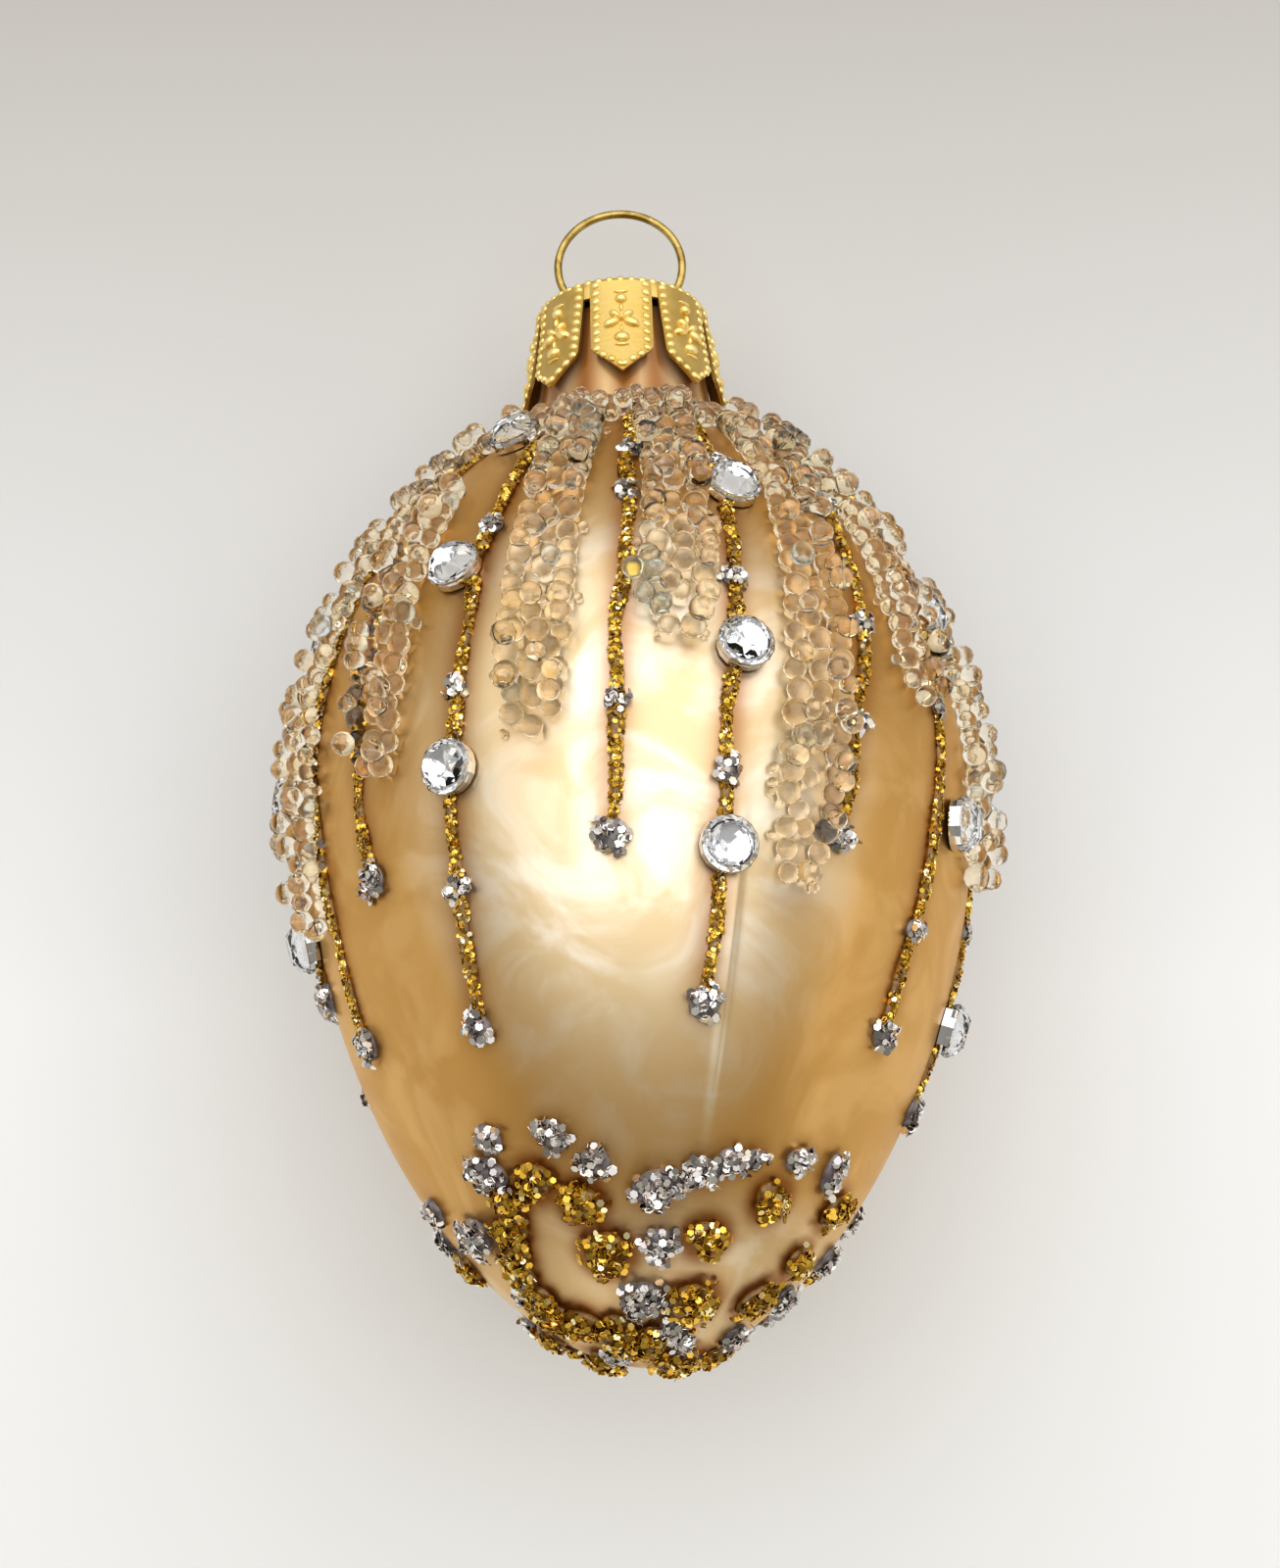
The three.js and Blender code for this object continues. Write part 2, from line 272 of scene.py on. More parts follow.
# %% Shared node groups
def new_group(name, output, kind, **inputs):
    """A shader node group with named sockets, what its inputs give, and its output node."""
    tree = bpy.data.node_groups.new(name, "ShaderNodeTree")
    for socket, value in inputs.items():
        given = "NodeSocketFloat" if isinstance(value, float) else "NodeSocketColor"
        made = tree.interface.new_socket(socket, in_out="INPUT", socket_type=given)
        made.default_value = value
    tree.interface.new_socket(output, in_out="OUTPUT", socket_type=kind)
    return tree, tree.nodes.new("NodeGroupInput").outputs, tree.nodes.new("NodeGroupOutput")


def mottle_group():
    """Soft clouds: a mask from 0 to 1 in Object coordinates."""
    tree, given, result = new_group(
        "mottle", "Mask", "NodeSocketFloat", Scale=100.0, Distortion=0.0, Low=0.35, High=0.65
    )
    noise = noise_mask(tree, Scale=given["Scale"], Distortion=given["Distortion"], Detail=5)
    spread = tree.nodes.new("ShaderNodeMapRange")
    spread.interpolation_type = "SMOOTHSTEP"
    fill(tree, spread, Value=noise, From_Min=given["Low"], From_Max=given["High"])
    fill(tree, result, Mask=spread.outputs["Result"])
    return tree


def grain_group():
    """A finely uneven normal: its Strength and the Scale of the grain."""
    tree, given, result = new_group("grain", "Normal", "NodeSocketVector", Scale=800.0, Strength=0.1)
    noise = noise_mask(tree, Scale=given["Scale"], Detail=3)
    bump = add_node(tree, "ShaderNodeBump", Height=noise, Strength=given["Strength"], Distance=0.1 * MM)
    fill(tree, result, Normal=bump.outputs["Normal"])
    return tree


def flake_tint_group():
    """Each flake's own shade between two colours, from the number stored on it. A few take a tint."""
    black, white = (0, 0, 0, 1), (1, 1, 1, 1)
    tree, given, result = new_group(
        "flake_tint", "Color", "NodeSocketColor", Dark=black, Light=white, Tint=white
    )
    number = attribute_mask(tree, "flake")
    shade = mix_colours(tree, number, given["Dark"], given["Light"])
    rare = add_node(tree, "ShaderNodeMapRange", Value=number, From_Min=0.86, From_Max=0.94)
    fill(tree, result, Color=mix_colours(tree, rare.outputs["Result"], shade, given["Tint"]))
    return tree


MOTTLE = mottle_group()
GRAIN = grain_group()
FLAKE_TINT = flake_tint_group()


# %% Starting a material
def new_finish(name, **sockets):
    """A material, its node tree and its Principled shader, with plain values on the shader's own sockets."""
    material = bpy.data.materials.new(name)
    material.use_nodes = True
    tree = material.node_tree
    return material, tree, fill(tree, tree.nodes["Principled BSDF"], **sockets)


def place_group(tree, group, **values):
    """One of the shared groups, placed in a material with its own values. It gives the group's output."""
    node = tree.nodes.new("ShaderNodeGroup")
    node.node_tree = group
    return fill(tree, node, **values).outputs[0]


# %% [markdown]
# ## The finishes
#
# The lacquer is metallic powder in varnish: satin, champagne in colour, brushed on in swirls, with a painted
# highlight over the belly, and amber beside the glitter that is glue tint and painted shade together. The
# gold foil of the cap has painted highlights on what stands proud and painted shade in its hollows.
# The balls and stones are clear, by plain transmission and IOR on the shader, and the stones have a silver
# foil behind.

# %% Pearl lacquer
def pearl_lacquer():
    """Satin champagne lacquer, brushed in swirls, with a painted highlight that makes it creamier over the
    belly, and amber beside the glitter that is glue tint and painted shade together.
    """
    material, tree, shader = new_finish(
        "pearl_lacquer", Coat_Weight=0.4, Coat_Roughness=0.3, Coat_IOR=1.5, Specular_Tint=(1.0, 0.8, 0.5, 1)
    )
    strokes = place_group(tree, MOTTLE, Scale=110, Distortion=1.6, Low=0.4, High=0.66)
    deep = mix_colours(tree, strokes, (0.62, 0.365, 0.115, 1), (0.7, 0.44, 0.17, 1))
    # The creamier colours, mixed in by a mask stored on the glass, are a painted highlight.
    painted_highlight = mix_colours(tree, strokes, (0.72, 0.56, 0.33, 1), (0.85, 0.76, 0.6, 1))
    brushed = mix_colours(tree, attribute_mask(tree, "painted_highlight"), deep, painted_highlight)
    neck = attribute_mask(tree, "neck")
    # The amber mixed in by the shade mask is glue tint and painted shade together.
    fill(
        tree, shader,
        Base_Color=mix_colours(tree, attribute_mask(tree, "shade"), brushed, (0.3, 0.1, 0.006, 1)),
        Roughness=spread_value(tree, neck, spread_value(tree, strokes, 0.44, 0.38), 0.28),
        Metallic=spread_value(tree, neck, 0.94, 0.3),
        Normal=place_group(tree, GRAIN, Scale=150, Strength=0.28),
    )
    return material


# %% Metals
def gold_foil():
    """Stamped gold, painted brighter on what stands proud as a painted highlight, and painted browner in the
    hollows as painted shade.
    """
    material, tree, shader = new_finish("gold_foil", Metallic=1.0)
    clouds = place_group(tree, MOTTLE, Scale=500, Distortion=0.5)
    # The bright colours are a painted highlight on the raised relief; the brown hollow colour is painted
    # shade.
    bright = mix_colours(tree, clouds, (0.93, 0.7, 0.26, 1), (1.0, 0.82, 0.38, 1))
    fill(
        tree, shader,
        Base_Color=mix_colours(tree, attribute_mask(tree, "relief"), (0.44, 0.28, 0.055, 1), bright),
        Roughness=spread_value(tree, clouds, 0.4, 0.5),
        Normal=place_group(tree, GRAIN, Scale=3000, Strength=0.25),
    )
    return material


def ring_wire():
    """Drawn brass wire, a little tarnished."""
    material, tree, shader = new_finish("ring_wire", Metallic=1.0)
    tarnish = place_group(tree, MOTTLE, Scale=700, Distortion=1.0)
    fill(
        tree, shader,
        Base_Color=mix_colours(tree, tarnish, (0.3, 0.21, 0.06, 1), (0.54, 0.4, 0.14, 1)),
        Roughness=spread_value(tree, tarnish, 0.18, 0.32),
    )
    return material


# %% Glass, crystal and glitter
def clear_glass(name, colour, index, roughness):
    """See-through glass, by plain values."""
    return new_finish(
        name, Base_Color=colour, Transmission_Weight=1.0, IOR=index, Roughness=roughness
    )[0]


def silver_foil():
    """The mirror foil behind the crystal."""
    return new_finish("silver_foil", Base_Color=(0.76, 0.77, 0.79, 1), Metallic=1.0, Roughness=0.06)[0]


def glitter(name, dark, light, tint, roughness):
    """Metal-coated flakes, each with its own shade."""
    material, tree, shader = new_finish(name, Metallic=1.0, Roughness=roughness)
    fill(tree, shader, Base_Color=place_group(tree, FLAKE_TINT, Dark=dark, Light=light, Tint=tint))
    return material


def glitter_glue(name, thin, thick):
    """Dried glitter glue: glossy resin, in soft clouds between a thin and a thick colour."""
    material, tree, shader = new_finish(name, Roughness=0.3, Coat_Weight=0.5, Coat_Roughness=0.1)
    clouds = place_group(tree, MOTTLE, Scale=1500, Distortion=0.5)
    fill(tree, shader, Base_Color=mix_colours(tree, clouds, thick, thin))
    return material


LACQUER = pearl_lacquer()
FOIL = gold_foil()
WIRE = ring_wire()
CLEAR = clear_glass("clear_ball_glass", (1.0, 0.94, 0.82, 1), 1.5, 0.02)
MILKY = clear_glass("milky_ball_glass", (0.9, 0.96, 0.99, 1), 1.45, 0.2)
CRYSTAL = clear_glass("cut_crystal", (0.97, 0.98, 1, 1), 1.6, 0.02)
MIRROR = silver_foil()
GOLD_FLAKE = glitter("gold_flake", (0.26, 0.14, 0.01, 1), (0.96, 0.64, 0.12, 1), (1.0, 0.9, 0.55, 1), 0.2)
SILVER_FLAKE = glitter(
    "silver_flake", (0.36, 0.34, 0.33, 1), (1.0, 0.985, 0.95, 1), (0.5, 0.42, 0.42, 1), 0.16
)
GOLD_GLUE = glitter_glue("gold_glitter_glue", (0.3, 0.16, 0.02, 1), (0.16, 0.07, 0.006, 1))
SILVER_GLUE = glitter_glue("silver_glitter_glue", (0.24, 0.22, 0.22, 1), (0.12, 0.1, 0.11, 1))

# %% [markdown]
# ## Mesh helpers
#
# A few short helpers do what every piece needs: start from nothing selected, wrap a flat shape onto the
# glass, lay the piece down, and copy one small model to many places as one mesh.

# %% Mesh helpers
def deselect():
    """Nothing selected, and Blender in object mode."""
    if bpy.context.object and bpy.context.object.mode != "OBJECT":
        bpy.ops.object.mode_set(mode="OBJECT")
    bpy.ops.object.select_all(action="DESELECT")


def only(piece):
    """This piece alone is selected and active."""
    deselect()
    piece.select_set(True)
    bpy.context.view_layer.objects.active = piece


def edit(piece, mode="VERT", action="DESELECT"):
    """Edit mode on one piece, with nothing or everything selected in it."""
    only(piece)
    bpy.ops.object.mode_set(mode="EDIT")
    bpy.ops.mesh.select_mode(type=mode)
    bpy.ops.mesh.select_all(action=action)


def pick(piece, kind, wanted):
    """Selects the faces or edges that pass a test, while in edit mode."""
    mesh = bmesh.from_edit_mesh(piece.data)
    for element in getattr(mesh, kind):
        element.select = wanted(element)
    mesh.select_flush_mode()
    bmesh.update_edit_mesh(piece.data)


def apply_modifier(piece, kind, **values):
    """Adds a modifier, sets its values and applies it."""
    only(piece)
    modifier = piece.modifiers.new(kind.lower(), kind)
    for key, value in values.items():
        setattr(modifier, key, value)
    bpy.ops.object.modifier_apply(modifier=modifier.name)


def numbers_of(items, key, kind=np.int32, width=1):
    """One number, or one row of them, for each vertex, loop or face of a mesh."""
    found = np.empty(len(items) * width, dtype=kind)
    items.foreach_get(key, found)
    return found


def vertices_of(piece):
    """A piece's vertices as an array."""
    return numbers_of(piece.data.vertices, "co", float, 3).reshape(-1, 3)


def move_vertices(piece, places):
    """Puts a piece's vertices at new places."""
    piece.data.vertices.foreach_set("co", np.ascontiguousarray(places, dtype=np.float32).ravel())
    piece.data.update()


def tidy_normals(piece):
    """Merges doubled vertices and turns every face outwards."""
    edit(piece, action="SELECT")
    bpy.ops.mesh.remove_doubles(threshold=1e-6)
    bpy.ops.mesh.normals_make_consistent(inside=False)
    deselect()


def store_number(piece, name, values):
    """Stores one number for each vertex, which a material can read as an attribute."""
    attribute = piece.data.attributes.new(name, "FLOAT", "POINT")
    attribute.data.foreach_set("value", np.asarray(values, dtype=np.float32))


def smooth(piece, angle=None):
    """Smooth shading, or smooth only across edges under an angle in degrees."""
    only(piece)
    if angle is None:
        bpy.ops.object.shade_smooth()
    else:
        bpy.ops.object.shade_smooth_by_angle(angle=math.radians(angle))


def spread_copies(name, model, places, turns, scales, numbers=None):
    """One mesh that holds a copy of a small model at every place.

    turns holds a 3 by 3 turn for each copy, scales its size along its own axes, and numbers, where given, one
    number for each copy, which is stored on its vertices as "flake".
    """
    base, faces = vertices_of(model), model.data.polygons
    count, corners = len(places), len(base)
    sized = base * np.asarray(scales).reshape(count, 1, -1)
    points = np.einsum("nij,nvj->nvi", turns, sized) + np.asarray(places)[:, None, :]
    loops = numbers_of(model.data.loops, "vertex_index")
    loops = (loops + corners * np.arange(count)[:, None]).ravel()
    sides = np.tile(numbers_of(faces, "loop_total"), count)
    mesh = bpy.data.meshes.new(name)
    mesh.vertices.add(count * corners)
    mesh.vertices.foreach_set("co", points.astype(np.float32).ravel())
    mesh.loops.add(len(loops))
    mesh.loops.foreach_set("vertex_index", loops.astype(np.int32))
    mesh.polygons.add(len(sides))
    mesh.polygons.foreach_set("loop_start", (np.cumsum(sides) - sides).astype(np.int32))
    for key, kind in (("use_smooth", bool), ("material_index", np.int32)):
        mesh.polygons.foreach_set(key, np.tile(numbers_of(faces, key, kind), count))
    mesh.update(calc_edges=True)
    piece = add_object(name, mesh)
    if numbers is not None:
        store_number(piece, "flake", np.repeat(numbers, corners))
    return piece


def copy_of(model):
    """A second object with its own copy of a model's mesh."""
    return add_object(model.name, model.data.copy())


def join(name, pieces):
    """Joins pieces that wear the same materials into one. Each face keeps the slot it was given."""
    deselect()
    for piece in pieces:
        piece.select_set(True)
    bpy.context.view_layer.objects.active = pieces[0]
    bpy.ops.object.join()
    whole = bpy.context.view_layer.objects.active
    whole.name = name
    whole.data.name = name
    return whole


def wear(piece, *materials):
    """Gives a piece its materials, in slot order. Its faces keep their slots, which clear() forgets."""
    slots = numbers_of(piece.data.polygons, "material_index")
    piece.data.materials.clear()
    for material in materials:
        piece.data.materials.append(material)
    piece.data.polygons.foreach_set("material_index", slots)


def set_slot(piece, number):
    """Every face of a piece uses this material slot."""
    piece.data.polygons.foreach_set("material_index", np.full(len(piece.data.polygons), number, np.int32))


def frames_on_glass(height, azimuth):
    """A 3 by 3 turn for each place on the glass: its columns are across, up the outline and outwards."""
    radial, axial = outline_normal(height)
    angle = np.radians(azimuth)
    angle, radial, axial = np.broadcast_arrays(angle, radial, axial)
    zero = np.zeros_like(angle)
    outward = np.stack([radial * np.sin(angle), axial, radial * np.cos(angle)], -1)
    across = np.stack([np.cos(angle), zero, -np.sin(angle)], -1)
    return np.stack([across, np.cross(outward, across), outward], -1)


def tilted(turns, rng, spread):
    """The same turns, each tipped at random by a few degrees, and spun by any amount."""
    count = len(turns)
    tip, tilt = np.radians(rng.normal(0, spread, (2, count)))
    spin = rng.uniform(0, 2 * np.pi, count)
    result = []
    for i in range(count):
        small = Matrix.Rotation(tip[i], 3, "X") @ Matrix.Rotation(tilt[i], 3, "Y")
        result.append(turns[i] @ np.array(small @ Matrix.Rotation(spin[i], 3, "Z")))
    return np.array(result)


def finish_piece(piece, slot, *replaced):
    """Hides the CAD parts that a piece replaces, and puts the piece on the one body. The slot is not used."""
    if replaced:
        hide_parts(*replaced)
    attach(piece, "root")


# %% [markdown]
# ## The lines and strands
#
# Sixteen gold lines run down from the neck, and fifteen strands of balls hang among them. Each has its
# azimuth at its top and at its end, in degrees, then the heights of its top and its end, in mm, and a line
# has the heights of its silver dots too. The upper ones show as the egg lies, and the rest repeat them more
# plainly.

# %% Where the lines and strands run
LINES = [
    (-84, -84, 68, 27, [27, 36.5, 48]),
    (-66, -67, 68, 21.5, [21.5]),
    (-52, -50, 68, 31, [31]),
    (-24, -33, 65, 19.7, [19.7, 28.6, 42.4, 56]),
    (2, -4, 68, 30.7, [30.7, 39.8, 57.5, 62.5]),
    (21, 12, 68, 20, [20, 35, 49.8, 61.5]),
    (50, 35, 68, 31.8, [31.8, 39.8, 48, 60]),
    (67, 55, 68, 20, [20, 27.2, 44]),
    (90, 88, 68, 17.5, [17.5, 31, 47]),
    (112, 111, 68, 30, [30, 44]),
    (134.5, 134.5, 68, 23, [23, 38, 51.5]),
    (157, 157, 68, 33, [33, 47]),
    (180, 180, 68, 24, []),
    (204, 204, 68, 20, [20, 35.5, 49]),
    (228, 228, 68, 28, [28, 42]),
    (253, 253, 68, 22, [22, 37, 50.5]),
]
STRANDS = [
    (-68, -71, 67.8, 29.5), (-42, -45, 62.5, 37), (-12, -16, 67.8, 36.5), (10, 8, 67.8, 44),
    (35.5, 27, 67.8, 27.5), (56, 54, 67.8, 43), (79, 79, 67.8, 32.5), (101, 101, 67.8, 40),
    (123, 123, 67.8, 33), (146, 146, 67.8, 44), (168.5, 168.5, 67.8, 34), (191.5, 191.5, 67.8, 34),
    (216, 216, 67.8, 43), (240.5, 240.5, 67.8, 31), (265, 265, 67.8, 39),
]
COLLAR_TOP = 71.8 * MM
COLLAR_BOTTOM = 68.5 * MM


def line_azimuth(run, height):
    """The azimuth of a line or strand at each height. It drifts evenly from its top to its end."""
    top, end = run[2] * MM, run[3] * MM
    fraction = np.clip((top - height) / (top - end), 0, 1)
    return run[0] + (run[1] - run[0]) * fraction


# %% Where the dabs of glitter round the foot lie
# Each dab is a height in mm, an azimuth in degrees, a radius in mm and a stretch.
SILVER_DABS = [
    (13, -39, 1.2, 0.9), (11.2, -44, 1.7, 1.2), (12.6, -22, 1.4, 0.85), (10.8, -13, 1.35, 1.0),
    (9.2, 3, 1.9, 1.2), (10.1, 15, 1.5, 1.2), (10.8, 22, 1.2, 1.0), (11, 28, 1.1, 0.8), (11.4, 42, 1.25, 0.9),
    (11.2, 56, 1.4, 0.75), (10.9, -80, 1.3, 1.0), (8.2, -64, 1.9, 1.1), (4.4, -62, 1.4, 1.0),
    (6, 4, 1.5, 1.0), (3.1, -3, 1.8, 1.0), (1.5, 20, 1.7, 1.3), (7.6, 96, 1.5, 1.0), (4.4, 84, 1.4, 1.0),
    (1.9, 80, 1.3, 1.0), (0.8, -40, 1.5, 1.1),
]
GOLD_DABS = [
    (10.2, -31, 1.6, 1.1), (8.6, -19, 1.7, 0.9), (5.7, -15, 2.0, 1.0), (6.4, 20, 1.6, 0.9),
    (8.9, 38, 1.6, 0.85), (2.9, 22, 2.1, 1.0), (3.6, 60, 1.7, 1.2), (6.1, 67, 1.5, 1.1), (9.4, 68, 1.6, 0.8),
    (9.3, -41, 1.4, 0.8), (7.9, -46, 1.5, 0.9), (6.6, -51, 1.5, 0.9), (5.3, -56, 1.5, 0.9),
    (4.1, -58, 1.5, 0.9), (3.0, -60, 1.7, 1.1), (2.3, -47, 1.8, 1.2), (1.5, -25, 1.9, 1.2),
    (1.0, -5, 1.8, 1.2), (0.3, 60, 1.9, 1.0), (1.2, 110, 1.6, 1.0), (0.6, -90, 1.7, 1.0),
]
foot_rng = np.random.default_rng(50)
for azimuth in range(112, 262, 16):
    SILVER_DABS.append((11 + foot_rng.uniform(-1.2, 1.2), azimuth, foot_rng.uniform(1.2, 1.7), 1.1))
    GOLD_DABS.append((8.2 + foot_rng.uniform(-1, 1), azimuth + 8, foot_rng.uniform(1.3, 1.8), 0.9))
for azimuth in range(120, 270, 30):
    SILVER_DABS.append((4.6 + foot_rng.uniform(-0.6, 0.6), azimuth, foot_rng.uniform(1.2, 1.7), 1.0))
    GOLD_DABS.append((2.8 + foot_rng.uniform(-0.4, 0.4), azimuth + 14, foot_rng.uniform(1.4, 1.9), 1.1))
print(len(SILVER_DABS), "silver dabs and", len(GOLD_DABS), "gold ones round the foot")


# %% [markdown]
# ## The blown glass
#
# A glass-blower's egg is a surface of revolution, so its profile is drawn as a chain of vertices and spun
# round the axis. It is a true vessel: the profile goes over the neck's rim and down the inside. The mesh is
# fine, because it also carries a faint mould seam, hand-blown unevenness, a painted highlight, and the amber
# beside the glitter, which is glue tint and painted shade together.

# %% Glass
def profile_chain(points, name):
    """An object of one chain of vertices and edges in the X-Y plane, X being the radius."""
    mesh = bpy.data.meshes.new(name)
    edges = [(i, i + 1) for i in range(len(points) - 1)]
    mesh.from_pydata([(radius, height, 0) for radius, height in points], edges, [])
    return add_object(name, mesh)


def spin_round(piece, steps):
    """Spins a profile round the egg's axis, Y, and closes it."""
    edit(piece, action="SELECT")
    bpy.ops.mesh.spin(steps=steps, angle=2 * math.pi, center=(0, 0, 0), axis=(0, 1, 0))
    tidy_normals(piece)
    return piece


def glass_profile():
    """The outline from the foot's pole over the neck's rim and down the inside, as radius and height."""
    walks = np.linspace(walk_of(0), walk_of(73.5 * MM), 150)
    heights = height_of(walks)
    heights[0] = 0
    outer = np.stack([glass_radius(heights), heights], -1)
    neck = [(glass_radius(height * MM), height * MM) for height in (75, 78, 81, 82.3)]
    rim = [(NECK_RADIUS - 0.2 * MM, NECK_TOP), (NECK_RADIUS - 0.6 * MM, NECK_TOP)]
    inside_heights = heights[::-4]
    radial, axial = outline_normal(inside_heights)
    inside = np.stack(
        [glass_radius(inside_heights) - GLASS_WALL * radial, inside_heights - GLASS_WALL * axial], -1
    )
    inside = inside[inside[:, 0] > 0.3 * MM]
    return [*map(tuple, outer), *neck, *rim, *map(tuple, inside), (0, GLASS_WALL)]


def glue_tint_and_painted_shade(points):
    """How deep the amber is, from 0 to 1, for points in the egg's frame: a painted shadow under the cap,
    painted shade under the strands, a deeper amber on the shoulder, and glue tint with painted shade round
    the lines and dabs.
    """
    height = points[:, 1]
    radius = np.maximum(np.hypot(points[:, 0], points[:, 2]), 0.1 * MM)
    azimuth = np.degrees(np.arctan2(points[:, 0], points[:, 2]))

    def away_from(run):
        """Distance over the glass from a line or a strand."""
        offset = (azimuth - line_azimuth(run, height) + 180) % 360 - 180
        return np.hypot(np.radians(offset) * radius, np.clip(run[3] * MM - height, 0, None))

    # Painted shadow of the cap's leaves on the neck.
    painted_cap_shadow = np.clip((height - 76.8 * MM) / (1.5 * MM), 0, 1)
    shoulder = np.clip((height - 57 * MM) / (9 * MM), 0, 1) * np.clip((71 * MM - height) / (2 * MM), 0, 1)
    shades = [0.55 * painted_cap_shadow, 0.15 * shoulder]
    # Beside each line the amber is glue tint and painted shade together.
    for line in LINES:
        strength = 0.6 + 0.3 * np.clip((height - line[3] * MM) / (30 * MM), 0, 1)
        shades.append(strength * np.exp(-((away_from(line) / (1.3 * MM)) ** 2)))
    # Painted shade under each strand of balls.
    for strand in STRANDS:
        shades.append(0.15 * np.exp(-((away_from(strand) / (2.2 * MM)) ** 4)))
    # Round each dab the amber is glue tint and painted shade together.
    for dabs, strength in ((GOLD_DABS, 0.9), (SILVER_DABS, 0.25)):
        for dab_height, dab_azimuth, dab_radius, _ in dabs:
            away = np.linalg.norm(points - on_glass(dab_height * MM, dab_azimuth), axis=-1)
            rim = np.clip(away - 0.9 * dab_radius * MM, 0, None)
            shades.append(strength * np.exp(-((rim / (0.75 * MM)) ** 2)))
    return np.max(shades, axis=0)


def painted_highlight_share(height, azimuth):
    """Painted light on the lacquer, from 0 to 1: a painted highlight on the belly's front, painted light on
    the foot and the neck, and none on the flanks.
    """
    away = np.hypot((height / MM - 35) / 26, azimuth / 44)
    # Painted highlight where the window reflects on the belly's front.
    belly = np.clip(1.5 - 1.5 * away**2, 0, 1)
    foot = 0.7 * np.clip((10 - height / MM) / 4, 0, 1)
    # Painted light on the foot and on the neck.
    return np.maximum(np.maximum(belly, foot), 0.6 * bare_neck(height))


def bare_neck(height):
    """Where the lacquer is unbrushed and smoother, and where it is painted lighter: on the neck."""
    return np.clip((height / MM - 70.5) / 1.5, 0, 1)


def mould_seam(height, azimuth, radius):
    """The crease that the mould left below the belly: its share of full height at each point."""
    seam_azimuth = 17 - 0.15 * (28 - height / MM)
    aside = np.radians(azimuth - seam_azimuth) * radius
    fade = np.clip((height / MM - 10) / 6, 0, 1) * np.clip((34 - height / MM) / 8, 0, 1)
    return fade * np.exp(-((aside / (0.32 * MM)) ** 2))


def blown_glass():
    """The whole glass vessel. Its vertices are drawn together round azimuth 15, where the seam runs."""
    piece = spin_round(profile_chain(glass_profile(), "glass_egg_blown"), 240)
    points = vertices_of(piece)
    height = points[:, 1]
    radius = np.hypot(points[:, 0], points[:, 2])
    turned = np.arctan2(points[:, 0], points[:, 2])
    turned = turned - 0.7 * np.sin(turned - math.radians(15))
    points = np.stack([radius * np.sin(turned), height, radius * np.cos(turned)], -1)
    outside = radius > glass_radius(np.clip(height, 0, NECK_TOP)) - 0.3 * MM
    azimuth = np.degrees(np.arctan2(points[:, 0], points[:, 2]))
    seam = mould_seam(height, azimuth, radius) * outside
    waver = 0.05 * MM * np.sin(3 * turned + height / (9 * MM)) * outside
    waver = waver + 0.04 * MM * np.sin(5 * turned - height / (5 * MM)) * outside
    waver = waver * np.clip(radius / (6 * MM) - 0.5, 0, 1)
    # The shade mask is glue tint and painted shade together, and the next mask is painted light, with the
    # mould seam painted as a bright highlight line.
    store_number(piece, "shade", np.where(outside, glue_tint_and_painted_shade(points), 0))
    store_number(piece, "painted_highlight", np.clip(painted_highlight_share(height, azimuth) + seam, 0, 1))
    store_number(piece, "neck", bare_neck(height))
    scale = 1 + (0.15 * MM * seam + waver) / np.maximum(radius, 1 * MM)
    points[:, 0] *= scale
    points[:, 2] *= scale
    move_vertices(piece, to_rest(points))
    smooth(piece, 60)
    wear(piece, LACQUER)
    finish_piece(piece, "pearl_lacquered_glass", "glass_egg")
    print("glass", len(piece.data.polygons), "faces")


blown_glass()

# %% [markdown]
# ## The glass balls
#
# All the tiny balls are one model copied many times, so that model has only eighty faces, shaded smooth.
# They are packed on the glass in staggered rows, pushed apart until hardly any overlap, and a few more nest
# on top. Each strand is one piece, since its balls are glued together.

# %% One ball
def ball_model():
    """A small ball of radius 1, to be scaled as it is copied."""
    deselect()
    bpy.ops.mesh.primitive_ico_sphere_add(subdivisions=2, radius=1.0)
    ball = bpy.context.object
    edit(ball, action="SELECT")
    bpy.ops.transform.tosphere(value=1.0)
    deselect()
    smooth(ball)
    wear(ball, CLEAR, MILKY)
    return ball


BALL = ball_model()
BALL_RADIUS = 0.9 * MM
MILKY_SHARE = 0.04


# %% Packing balls
def pushed_apart(across, walk, radius, half_width, length, rounds=14):
    """Moves balls on the unrolled glass until hardly any two overlap, within the strand's outline."""
    for _ in range(rounds):
        gap_across = across[:, None] - across[None, :]
        gap_walk = walk[:, None] - walk[None, :]
        distance = np.hypot(gap_across, gap_walk) + 1e-9
        want = 0.96 * (radius[:, None] + radius[None, :])
        push = np.clip(want - distance, 0, None) * 0.25
        np.fill_diagonal(push, 0)
        across = across + (push * gap_across / distance).sum(1)
        walk = walk + (push * gap_walk / distance).sum(1)
        walk = np.clip(walk, radius, length - radius)
        edge = np.maximum(half_width(walk / length) - radius, 0)
        across = np.clip(across, -edge, edge)
    return across, walk


def strand_width(fraction):
    """Half the width of a strand down its length: it widens, and rounds off at its end."""
    swell = 0.2 * MM * np.sin(11 * fraction)
    widening = np.clip(fraction / 0.5, 0, 1)
    width = 1.8 * MM + 0.75 * MM * widening**2 * (3 - 2 * widening) + swell
    return width * (1 - 0.5 * np.clip(fraction * 7 - 6, 0, 1) ** 2)


